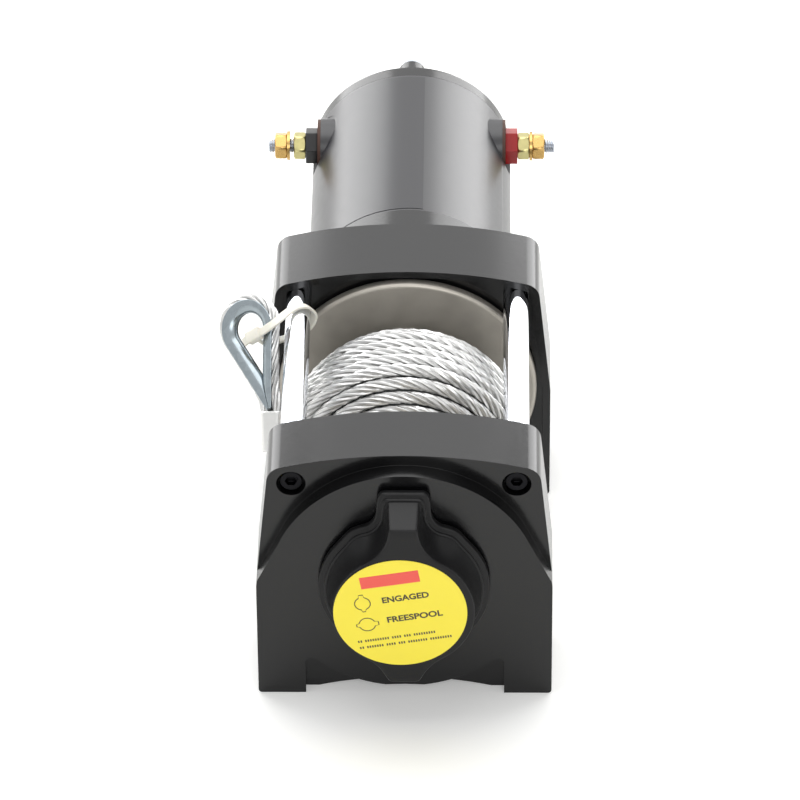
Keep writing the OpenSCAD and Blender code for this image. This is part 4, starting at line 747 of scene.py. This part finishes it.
def knob_rows():
    """The knob's section as rows of a radius table and a place along the axis.

    The lip and the step on it have rounded rims. The wall's radius falls from the step to the flat
    front as (1 - s) to a power: 2.4 makes it hollow, and 1 leaves the two sloped ends flat.
    """
    a = np.linspace(-math.pi, math.pi, KNOB_COLUMNS, endpoint=False)
    shoulder = SHOULDER * np.exp(-(((np.abs(a) - SHOULDER_ANGLE) / SHOULDER_SPREAD) ** 2))

    def lip(grow):
        return knob_outline(LIP, grow) + shoulder

    def step(grow):
        return knob_outline(STEP_RIM, grow) + shoulder

    def crisp(grow):
        return knob_outline(PLATEAU, grow, corner=CRISP_CORNER)

    rows = [(lip(-RIM), KNOB_BACK), (lip(-SMALL), KNOB_BACK - SMALL), (lip(0), KNOB_BACK - RIM)]
    rows += [(lip(0), KNOB_LIP + RIM), (lip(-SMALL), KNOB_LIP + SMALL), (lip(-RIM), KNOB_LIP)]
    top = KNOB_LIP - KNOB_STEP
    rows += [(step(2 * SMALL), KNOB_LIP), (step(0), KNOB_LIP - SMALL), (step(0), top + BEAD)]
    rows += [(step(-SMALL), top + SMALL), (step(-BEAD), top)]
    foot, crest = step(-2 * BEAD), crisp(0)
    from_end = np.minimum(np.abs(a), math.pi - np.abs(a) - SLOPE_LESS)
    flat = np.clip((SLOPE_ANGLE - from_end) / SLOPE_EDGE + 0.5, 0, 1)
    power = WALL_HOLLOW + (1 - WALL_HOLLOW) * flat
    for s in np.linspace(0, 1, WALL_ROWS):
        rows.append((crest + (foot - crest) * (1 - s) ** power, top + (KNOB_FRONT + BEAD - top) * s))
    rows.append((crisp(-SMALL), KNOB_FRONT + SMALL))
    rows += [(crisp(-BEAD) * share, KNOB_FRONT) for share in (1, 0.9, 0.6)]
    inner = (
        (SCREW_HEAD_R, KNOB_FRONT),
        (SCREW_HEAD_R, KNOB_FRONT + SCREW_SINK),
        (SCREW_R, KNOB_FRONT + SCREW_SINK),
        (SCREW_R, KNOB_INSIDE),
        (HUB_BORE_R, KNOB_INSIDE),
        (HUB_BORE_R, HUB_END),
        (HUB_R, HUB_END),
        (HUB_R, KNOB_INSIDE),
        (KNOB_HOLLOW_R, KNOB_INSIDE),
        (KNOB_HOLLOW_R, KNOB_BACK),
    )
    rows += [(np.full(KNOB_COLUMNS, r), y) for r, y in inner]
    return rows


def knob_piece(material):
    """The clutch knob, closed on itself round its hollow: radius tables turned about the drum's axis."""
    rows = knob_rows()
    a = np.linspace(-math.pi, math.pi, KNOB_COLUMNS, endpoint=False)
    radius = np.stack([r for r, _ in rows])
    y = np.array([y for _, y in rows])
    points = np.stack(
        [radius * np.sin(a), np.broadcast_to(y[:, None], radius.shape), AXIS_Z + radius * np.cos(a)], -1
    )
    faces = grid_faces(len(rows), KNOB_COLUMNS, closed_rows=True)
    made = piece("moulded_knob", points.reshape(-1, 3), faces, material, KNOB)
    made.data.set_sharp_from_angle(angle=KNOB_SHARP)
    return made


# Print on the sticker: u to the right and v up from the sticker's middle, turned by the sticker's tilt
PRINT_T = 0.03 * MM
LETTER_WEIGHT, LETTER_DEPTH = 0.034, 0.01
SIGN_COLUMNS, SIGN_LINE = 120, 0.4 * MM
# Small dashes, in millimetres: their step, width and height, and the gap between words in steps
DASH_STEP, DASH_W, DASH_H, WORD_GAP = 0.96, 0.58, 1.1, 0.9


def on_sticker(uv):
    """Places of the print's points on the sticker's face."""
    low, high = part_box("knob_sticker")
    tilt = settings().sticker_tilt
    u, v = uv[:, 0], uv[:, 1]
    x = (low.x + high.x) / 2 + u * math.cos(tilt) - v * math.sin(tilt)
    z = (low.z + high.z) / 2 + u * math.sin(tilt) + v * math.cos(tilt)
    return np.stack([x, np.full(len(x), low.y), z], -1)


def printed(name, loops, material, ring=False):
    """Flat shapes as thin plates: each loop is a counterclockwise outline, or an outer and inner pair."""
    points, faces = [], []
    for loop in loops:
        at = len(points)
        front = on_sticker(np.asarray(loop, float))
        n = len(front)
        points += (front - [0, PRINT_T, 0]).tolist() + (front + [0, PRINT_T, 0]).tolist()
        if ring:
            half = n // 2
            k = np.arange(half)
            after = (k + 1) % half
            faces += (at + np.stack([k, after, half + after, half + k], -1)).tolist()
            faces += (at + n + np.stack([half + k, half + after, after, k], -1)).tolist()
            faces += (at + np.stack([n + k, n + after, after, k], -1)).tolist()
            faces += (at + half + np.stack([k, after, n + after, n + k], -1)).tolist()
        else:
            k = np.arange(n)
            after = (k + 1) % n
            faces += [(at + k).tolist(), (at + n + k[::-1]).tolist()]
            faces += (at + np.stack([k + n, after + n, after, k], -1)).tolist()
    made = piece(name, points, [[int(k) for k in face] for face in faces], material, KNOB, smooth=False)
    return made


def word(name, text, middle, length, height, material):
    """A printed word: Blender's own plain letters, thickened, made a mesh and laid on the sticker."""
    curve = bpy.data.curves.new(name, "FONT")
    curve.body = text
    curve.offset = LETTER_WEIGHT
    curve.extrude = LETTER_DEPTH
    curve.resolution_u = 4
    letters = bpy.data.objects.new(name + "_curve", curve)
    bpy.context.scene.collection.objects.link(letters)
    bpy.context.view_layer.update()
    graph = bpy.context.evaluated_depsgraph_get()
    mesh = bpy.data.meshes.new_from_object(letters.evaluated_get(graph))
    bpy.data.objects.remove(letters)
    mesh.name = name
    points = get_points(mesh)
    low, high = points.min(0), points.max(0)
    scale = [length / (high[0] - low[0]), height / (high[1] - low[1])]
    uv = (points[:, :2] - (low[:2] + high[:2]) / 2) * scale
    place = on_sticker(uv + np.array(middle) * MM)
    place[:, 1] -= np.where(points[:, 2] > 0, PRINT_T, -PRINT_T)
    set_points(mesh, place)
    return place_mesh(name, mesh, material, KNOB)


def oblong(u, v, length, height):
    """Corners of a plain bar about (u, v), in millimetres."""
    half = np.array([[-length, -height], [length, -height], [length, height], [-length, height]]) / 2
    return (half + [u, v]) * MM


def knob_sign(u, v, long_side, turn):
    """Outer and inner line of the knob's own outline, drawn small about (u, v) and turned clockwise."""
    table = knob_outline(LIP, columns=SIGN_COLUMNS)
    table = table * (long_side * MM / (table[SIGN_COLUMNS // 2] + table[0]))
    a = np.linspace(-math.pi, math.pi, SIGN_COLUMNS, endpoint=False) + turn
    rings = [r[:, None] * np.stack([np.sin(a), np.cos(a)], -1) for r in (table, table - SIGN_LINE)]
    return np.concatenate([ring[::-1] for ring in rings]) + np.array([u, v]) * MM


def small_print(u, v, letters):
    """Short upright dashes in word-like groups from u along the row v. They stand for no letters."""
    bars = []
    for count in letters:
        bars += [oblong(u + k * DASH_STEP, v, DASH_W, DASH_H) for k in range(count)]
        u += (count + WORD_GAP) * DASH_STEP
    return bars


# Nuts and studs as surfaces turned about a line along X
NUT_SIDES, NUT_FLATS, NUT_T, NUT_BORE_R = 72, 10 * MM, 5 * MM, 2.9 * MM
NUT_FACE, NUT_CHAMFER, CHAMFER_ROWS = 0.95, math.radians(30), 5
STUD_R, STUD_PITCH, STUD_INSIDE = 3 * MM, 1 * MM, 31 * MM
STUD_COLUMNS, PITCH_ROWS = 32, 8
# Shares of the pitch: the thread's depth and the chamfer's length. Its flanks' slope and its flat crest
THREAD_DEPTH, THREAD_END, THREAD_SLOPE, THREAD_CREST = 0.55, 0.8, 1.25, 0.12


def about_x(x, radius, place):
    """Points of a surface round a line along X: radius is a table over rows x and angles."""
    a = FULL_TURN * np.arange(radius.shape[1]) / radius.shape[1]
    return np.stack(
        [
            np.broadcast_to(x[:, None], radius.shape),
            place[0] + radius * np.cos(a),
            place[1] + radius * np.sin(a),
        ],
        -1,
    )


def nut_piece(name, side, x0, x1, turn, place, material):
    """A chamfered hexagon nut on a line along X.

    The radius at an angle is half the flats over the cosine of the angle to the nearest flat's middle,
    cut by a cone of 30 degrees at both ends. The bore closes the ring.
    """
    a = FULL_TURN * np.arange(NUT_SIDES) / NUT_SIDES
    off = (a - turn + math.pi / 6) % (math.pi / 3) - math.pi / 6
    hexagon = NUT_FLATS / 2 / np.cos(off)
    face = NUT_FLATS / 2 * NUT_FACE
    deep = (hexagon.max() - face) * math.tan(NUT_CHAMFER)
    rise = np.linspace(0, deep, CHAMFER_ROWS)
    cone = face + np.concatenate([rise, rise[::-1]]) / math.tan(NUT_CHAMFER)
    outer = np.minimum(hexagon[None], cone[:, None])
    radius = np.concatenate([outer, np.full((2, NUT_SIDES), NUT_BORE_R)])
    x = np.concatenate([x0 + rise, x1 - rise[::-1], [x1, x0]])
    points = about_x(side * x, radius, place).reshape(-1, 3)
    faces = grid_faces(len(x), NUT_SIDES, closed_rows=True)
    return piece(name, points, faces if side < 0 else faces[:, ::-1], material, ROOT)


def stud_piece(name, side, x1, place, material):
    """A threaded stud along X: its radius swings over one pitch, and the crest moves round with the angle."""
    depth = STUD_PITCH * THREAD_DEPTH
    x = np.arange(STUD_INSIDE, x1, STUD_PITCH / PITCH_ROWS)
    a = np.arange(STUD_COLUMNS) / STUD_COLUMNS
    phase = ((x[:, None] - STUD_INSIDE) / STUD_PITCH - side * a[None]) % 1
    r = STUD_R - depth * np.clip(np.abs(2 * phase - 1) * THREAD_SLOPE - THREAD_CREST, 0, 1)
    taper = np.clip((x1 - x) / (STUD_PITCH * THREAD_END), 0, 1) * depth + STUD_R - depth
    rows = about_x(side * x, np.minimum(r, taper[:, None]), place)
    ends = np.array([[side * x[0], *place], [side * x[-1], *place]])
    faces = grid_faces(len(x), STUD_COLUMNS).tolist() + caps(len(x), STUD_COLUMNS).tolist()
    if side > 0:
        faces = [f[::-1] for f in faces]
    return piece(name, np.concatenate([rows.reshape(-1, 3), ends]), faces, material, ROOT)


# Settings that a user would change


def length_setting(name, description, default):
    """A length that the sidebar shows in the scene's units."""
    return bpy.props.FloatProperty(name=name, description=description, default=default, unit="LENGTH")


def colour_setting(name, description, code):
    """A colour with its hex code as the default."""
    return bpy.props.FloatVectorProperty(
        name=name, description=description, default=linear(code), size=4, min=0, max=1, subtype="COLOR"
    )


class WinchSettings(bpy.types.PropertyGroup):
    """Sizes and colours of the winch's looks."""

    casting_edge: length_setting("Casting edge", "Radius of the castings' edges", 0.9 * MM)
    small_edge: length_setting("Small edge", "Radius of the edges of screws and nuts", 0.25 * MM)
    rope_lay: length_setting("Rope lay", "Length of one turn of the rope's strands", 31 * MM)
    ring_step: length_setting("Ring step", "Length of one step of the rope's surface", 2.5 * MM)
    sticker_tilt: bpy.props.FloatProperty(
        name="Sticker tilt",
        description="Turn of the print on the sticker",
        default=math.radians(10),
        subtype="ANGLE",
    )
    coat_colour: colour_setting("Coat colour", "Powder coat of the castings and the end cap", "#0c0c0d")
    can_colour: colour_setting("Can colour", "Paint of the motor can", "#2d2d30")
    knob_colour: colour_setting("Knob colour", "Plastic of the clutch knob", "#111112")
    rope_colour: colour_setting("Rope colour", "Galvanised wire of the rope", "#d3d3d2")
    sticker_colour: colour_setting("Sticker colour", "Vinyl of the sticker on the knob", "#ffec3d")


def settings():
    """The winch's settings in this scene."""
    return bpy.context.scene.winch_settings


class BuildCastings(bpy.types.Operator):
    """Gear housing, motor bracket and motor end cap, with rounded edges under gloss black coat"""

    bl_idname = "winch.castings"
    bl_label = "Castings"

    def execute(self, context):
        coat = powder_coat()
        for node in ("gear_housing", "motor_bracket", "motor_end_cap"):
            rounded_copy(node, settings().casting_edge, coat, ROOT)
        return {"FINISHED"}


class BuildRods(bpy.types.Operator):
    """Chromed tie rods with their screws, and the captive nuts of the feet"""

    bl_idname = "winch.rods"
    bl_label = "Tie rods"

    def execute(self, context):
        dress(["tie_rods"], chrome_plate())
        # Black oxide on hardened screws: nearly black, with an oily shine
        oxide = metal("black_oxide", "#1f1f21", 0.3)
        rounded_copy("tie_rod_screws", settings().small_edge, oxide, ROOT, steps=2)
        # Bright zinc plate: pale and a little blue
        zinc = metal("bright_zinc_plate", "#b7bcc4", 0.26)
        dress(["mounting_nuts", "clutch_screw"], zinc)
        rounded_copy("through_bolts", settings().small_edge, zinc, ROOT, steps=2)
        return {"FINISHED"}


class BuildDrum(bpy.types.Operator):
    """The bare steel drum, its bushes and the inner turns of rope, these in painted shade"""

    bl_idname = "winch.drum"
    bl_label = "Drum"

    def execute(self, context):
        dress(["drum"], turned_steel())
        # Moulded nylon bushes: creamy and dull
        dress(["drum_bush_front", "drum_bush_rear"], moulded("nylon_bush", "#ded9c6", 0.5))
        # Painted shade: the inner turns are the same galvanised wire as the outer ones, but drawn dark grey
        # with large dark spots, as the shade in the gaps between the outer turns
        dress(["rope_core"], metal("inner_rope_painted_shade", "#5d5f61", 0.5, grain=2 * MM, shade=0.5))
        return {"FINISHED"}


class BuildRope(bpy.types.Operator):
    """The outer turns of stranded rope on the drum"""

    bl_idname = "winch.rope"
    bl_label = "Wound rope"

    def execute(self, context):
        path = wound_path(settings().ring_step)
        outward = path * np.array([1, 0, 1]) - np.array([0, 0, AXIS_Z])
        wire = rope_wire()
        made = rope_piece("wound_rope", path, outward, DRUM, FULL_ROPE_R, settings().rope_lay, wire)
        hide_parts("rope_winding")
        return {"FINISHED"}


class BuildHookEnd(bpy.types.Operator):
    """The rope's end: from the drum through the pressed ferrule, round the thimble and back"""

    bl_idname = "winch.hook_end"
    bl_label = "Hook end"

    def execute(self, context):
        wire = bpy.data.materials["galvanised_rope_wire"]
        lay = settings().rope_lay
        tail_line = tail_path(1.6 * MM)
        tail = rope_piece("rope_to_drum", tail_line, np.array([1.0, 0, 0]), ROOT, ROPE_R, lay, wire)
        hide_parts("rope_tail")
        eye = rope_piece("eye_rope", eye_path(1.2 * MM), EYE_NORMAL, ROOT, ROPE_R, lay, wire)
        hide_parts("rope_eye")
        liner = thimble_piece(galvanised_sheet())
        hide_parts("thimble")
        sleeve = rounded_copy("ferrule", 0.8 * MM, pressed_aluminium(), ROOT)
        tie_pieces(nylon_tie())
        return {"FINISHED"}


class BuildKnob(bpy.types.Operator):
    """The clutch knob with the slider and spring behind it"""

    bl_idname = "winch.knob"
    bl_label = "Clutch knob"

    def execute(self, context):
        knob = knob_piece(knob_plastic())
        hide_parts("clutch_knob")
        dress(["clutch_slider"], metal("machined_slider_steel", "#8d8d90", 0.35))
        spring = plain_copy("clutch_spring", metal("drawn_spring_wire", "#94949a", 0.3), ROOT)
        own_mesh(spring)
        return {"FINISHED"}


class BuildSticker(bpy.types.Operator):
    """The yellow sticker with its red bar, two knob outlines and the two clutch positions"""

    bl_idname = "winch.sticker"
    bl_label = "Sticker"

    def execute(self, context):
        dress(["knob_sticker"], vinyl("yellow_vinyl", settings().sticker_colour))
        ink = vinyl("brown_black_ink", "#3b3115", 0.4)
        # Middles and sizes on the sticker are in millimetres
        bar = oblong(-1.1, 16.7, 22.8, 5.6)
        printed("print_bar", [bar], vinyl("red_ink", "#f4574a", 0.35))
        word("print_engaged", "ENGAGED", (3.3, 7.2), 18.1 * MM, 2.9 * MM, ink)
        word("print_freespool", "FREESPOOL", (5.2, -2.5), 21.5 * MM, 2.9 * MM, ink)
        signs = [knob_sign(-13.4, 6.9, 8.6, 0.0), knob_sign(-13.4, -3.4, 8.9, math.pi / 2)]
        printed("print_knob_signs", signs, ink, ring=True)
        rows = small_print(-18.2, -11.3, (2, 10, 4, 3, 9)) + small_print(-18, -14.4, (2, 7, 4, 3, 8, 9))
        printed("print_dashes", rows, ink)
        return {"FINISHED"}


class BuildMotor(bpy.types.Operator):
    """The painted can with its bare label film"""

    bl_idname = "winch.motor"
    bl_label = "Motor"

    def execute(self, context):
        rounded_copy("motor_can", 0.5 * MM, can_paint(), ROOT, steps=2)
        dress(["motor_label"], label_film())
        return {"FINISHED"}


class BuildTerminals(bpy.types.Operator):
    """Two threaded studs with fibre washers, insulators, washers and nuts"""

    bl_idname = "winch.terminals"
    bl_label = "Terminals"

    def execute(self, context):
        # Brass, turned and a little dulled
        brass = metal("turned_brass", "#c9a566", 0.28)
        # Yellow zinc on steel nuts: straw with a green cast
        yellow = metal("yellow_zinc_plate", "#cfc68c", 0.32, grain=2.5 * MM, shade=0.25)
        plated = bpy.data.materials["bright_zinc_plate"]
        place = (centre_of("fibre_washers").y, centre_of("terminal_studs").z)
        # Each pair of nuts with its turn on the thread
        for node, turn, material in (("inner_nuts", 0.3, yellow), ("outer_nuts", 0.1, brass)):
            low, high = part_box(node)
            for side, hand, end in ((1, "right", high.x), (-1, "left", -low.x)):
                name = node.replace("nuts", "nut_") + hand
                made = nut_piece(name, side, end - NUT_T, end, turn, place, material)
                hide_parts(node)
        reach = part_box("terminal_studs")[1].x
        for side, hand in ((1, "right"), (-1, "left")):
            made = stud_piece("stud_" + hand, side, reach, place, plated)
            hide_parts("terminal_studs")
        dress(["terminal_washers"], brass)
        dress(["fibre_washers"], board("red_brown_fibre", "#4d2f22"))
        rounded_copy("insulator_black", 0.5 * MM, moulded("black_insulator", "#161618"), ROOT, steps=2)
        rounded_copy("insulator_red", 0.5 * MM, moulded("red_insulator", "#a01518"), ROOT, steps=2)
        return {"FINISHED"}


class BuildGears(bpy.types.Operator):
    """The three planetary stages and the drive line inside the housing"""

    bl_idname = "winch.gears"
    bl_label = "Gears and drive line"

    def execute(self, context):
        # Cut gear steel under a film of oil
        oiled = metal("oiled_gear_steel", "#7f8083", 0.24, grain=3 * MM)
        inner = [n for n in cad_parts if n.startswith(("planet_gear", "sun_gear", "carrier"))]
        dress(inner + ["ring_gear", "drive_shaft", "shaft_coupling"], oiled)
        # Sintered friction metal: dull brown-grey
        dress(["brake_shoes"], metal("sintered_lining", "#5c534c", 0.55, grain=0.7 * MM, relief=0.04 * MM))
        return {"FINISHED"}


class BuildArmature(bpy.types.Operator):
    """What stands inside the motor can"""

    bl_idname = "winch.armature"
    bl_label = "Motor inside"

    def execute(self, context):
        # Punched steel sheets, stacked, whose fine dark lines across the axis are not drawn: only fine dark
        # stains
        sheets = metal("punched_sheet_steel", "#55565a", 0.4, grain=0.6 * MM)
        dress(["motor_front_plate", "armature_core"], sheets)
        dress(["armature_shaft", "motor_bearings"], metal("ground_steel", "#a2a3a6", 0.2))
        # Lacquered copper wire: orange-brown and glossy
        dress(["armature_windings"], metal("lacquered_copper", "#b4602f", 0.25, grain=0.8 * MM, shade=0.35))
        dress(["commutator"], metal("bare_copper", "#c2703f", 0.3))
        dress(["field_magnets"], board("ground_ferrite", "#2a2a2c"))
        dress(["brush_plate"], board("phenolic_board", "#5a3520"))
        dress(["brushes"], board("carbon_block", "#1a1a1a"))
        dress(["brush_springs"], bpy.data.materials["drawn_spring_wire"])
        return {"FINISHED"}


# Stage: the photograph's camera, a white floor and soft lamps
CAMERA_RAISE, CAMERA_SIDE, CAMERA_ROLL = math.radians(37.181), math.radians(-0.984), math.radians(-0.457)
CAMERA_DISTANCE = 2.358
CAMERA_TARGET = np.array([-1.04, -77.97, 144.04]) * MM
FOCAL_PIXELS, FRAME_PIXELS = 6283.1, 800
SENSOR = 36.0
# Each lamp's place, size and power
LAMPS = (
    ("top_box", (-0.15, 0.35, 1.5), 1.3, 13.0),
    ("back_box", (0.0, 1.7, 1.25), 1.2, 5.5),
    ("front_box", (0.3, -1.6, 1.0), 1.0, 9.0),
    ("left_box", (-1.15, 1.45, 0.42), 1.5, 32.0),
    ("right_box", (1.15, 1.45, 0.42), 1.5, 34.0),
)
LAMP_AIM = Vector((0, 0.03, 0.05))
FLOOR_HALF = 3.0
# The floor's own glow where it is seen, and the share of the walls' light that falls on the winch
FLOOR_GLOW, WALL_SHARE = 0.22, 0.45


class BuildStage(bpy.types.Operator):
    """The photograph's camera, the white floor and the lamps"""

    bl_idname = "winch.stage"
    bl_label = "Stage"

    def execute(self, context):
        scene = bpy.context.scene
        scene.view_settings.view_transform = "Standard"
        self.camera(scene)
        self.floor(scene)
        self.lamps(scene)
        self.surroundings(scene)
        return {"FINISHED"}

    def camera(self, scene):
        """The camera that was fitted to the photograph: its right, up and back from its angles."""
        raised, side, roll = CAMERA_RAISE, CAMERA_SIDE, CAMERA_ROLL
        forward = np.array(
            [math.sin(side) * math.cos(raised), math.cos(side) * math.cos(raised), -math.sin(raised)]
        )
        right = np.array([math.cos(side), -math.sin(side), 0.0])
        up = np.cross(right, forward)
        turned_right = math.cos(roll) * right + math.sin(roll) * up
        turned_up = math.cos(roll) * up - math.sin(roll) * right
        data = bpy.data.cameras.new("photo_camera")
        data.sensor_width = SENSOR
        data.lens = FOCAL_PIXELS / FRAME_PIXELS * SENSOR
        data.clip_end = 20.0
        data.dof.use_dof = False
        camera = bpy.data.objects.new("photo_camera", data)
        axes = np.eye(4)
        axes[:3, 0], axes[:3, 1], axes[:3, 2] = turned_right, turned_up, -forward
        axes[:3, 3] = CAMERA_TARGET - CAMERA_DISTANCE * forward
        camera.matrix_world = Matrix(axes.tolist())
        scene.collection.objects.link(camera)
        scene.camera = camera

    def floor(self, scene):
        """A floor that shows as white paper and still takes the winch's shadow."""
        half = FLOOR_HALF
        mesh = bpy.data.meshes.new("paper_floor")
        corners = [(-half, -half, 0), (half, -half, 0), (half, half, 0), (-half, half, 0)]
        mesh.from_pydata(corners, [], [(0, 1, 2, 3)])
        material = bpy.data.materials.new("white_paper")
        material.use_nodes = True
        tree = material.node_tree
        tree.nodes.clear()
        paper = add(tree, "ShaderNodeBsdfDiffuse", {"Color": linear("#f4f4f2")})
        seen = add(tree, "ShaderNodeLightPath")
        direct = add(
            tree,
            "ShaderNodeMath",
            {0: seen.outputs["Is Camera Ray"], 1: seen.outputs["Is Glossy Ray"]},
            operation="MAXIMUM",
        )
        through = add(
            tree,
            "ShaderNodeMath",
            {0: direct.outputs["Value"], 1: seen.outputs["Is Transmission Ray"]},
            operation="MAXIMUM",
        )
        lift = add(tree, "ShaderNodeMath", {0: through.outputs["Value"], 1: FLOOR_GLOW}, operation="MULTIPLY")
        white = {"Color": linear("#ffffff"), "Strength": lift.outputs["Value"]}
        glow = add(tree, "ShaderNodeEmission", white)
        both = add(tree, "ShaderNodeAddShader", {0: paper.outputs["BSDF"], 1: glow.outputs["Emission"]})
        add(tree, "ShaderNodeOutputMaterial", {"Surface": both.outputs["Shader"]})
        mesh.materials.append(material)
        floor = bpy.data.objects.new("paper_floor", mesh)
        scene.collection.objects.link(floor)

    def lamps(self, scene):
        """Soft boxes overhead, behind, in front, and low behind each side, which the motor's sides mirror."""
        for name, place, size, power in LAMPS:
            data = bpy.data.lights.new(name, "AREA")
            data.shape = "SQUARE"
            data.size = size
            data.energy = power
            lamp = bpy.data.objects.new(name, data)
            lamp.location = place
            aim = LAMP_AIM - Vector(place)
            lamp.rotation_euler = aim.to_track_quat("-Z", "Y").to_euler()
            scene.collection.objects.link(lamp)

    def surroundings(self, scene):
        """White walls: full white where they are seen or mirrored, weaker as a source of light."""
        world = bpy.data.worlds.new("white_room")
        scene.world = world
        world.use_nodes = True
        tree = world.node_tree
        tree.nodes.clear()
        seen = add(tree, "ShaderNodeLightPath")
        direct = add(
            tree,
            "ShaderNodeMath",
            {0: seen.outputs["Is Camera Ray"], 1: seen.outputs["Is Glossy Ray"]},
            operation="MAXIMUM",
        )
        strength = add(
            tree,
            "ShaderNodeMapRange",
            {"Value": direct.outputs["Value"], "To Min": WALL_SHARE, "To Max": 1.0},
        )
        sky = add(
            tree, "ShaderNodeBackground", {"Color": linear("#ffffff"), "Strength": strength.outputs["Result"]}
        )
        add(tree, "ShaderNodeOutputWorld", {"Surface": sky.outputs["Background"]})


BUILDERS = (
    BuildCastings,
    BuildRods,
    BuildDrum,
    BuildRope,
    BuildHookEnd,
    BuildKnob,
    BuildSticker,
    BuildMotor,
    BuildTerminals,
    BuildGears,
    BuildArmature,
    BuildStage,
)


class WinchPanel(bpy.types.Panel):
    """Lists the builders in the 3D view's sidebar"""

    bl_idname = "VIEW3D_PT_winch"
    bl_label = "Electric recovery winch"
    bl_space_type = "VIEW_3D"
    bl_region_type = "UI"
    bl_category = "Winch"

    def draw(self, context):
        for name in WinchSettings.__annotations__:
            self.layout.prop(context.scene.winch_settings, name)
        for builder in BUILDERS:
            self.layout.operator(builder.bl_idname)


CLASSES = (WinchSettings, *BUILDERS, WinchPanel)


def register():
    """Registers the classes and the settings on the scene."""
    for each in CLASSES:
        bpy.utils.register_class(each)
    bpy.types.Scene.winch_settings = bpy.props.PointerProperty(type=WinchSettings)


def unregister():
    """Takes the settings and the classes away again."""
    del bpy.types.Scene.winch_settings
    for each in reversed(CLASSES):
        bpy.utils.unregister_class(each)


def main():
    """Builds every part in order."""
    register()
    for builder in BUILDERS:
        group, name = builder.bl_idname.split(".")
        getattr(getattr(bpy.ops, group), name)()


if __name__ == "__main__":
    main()
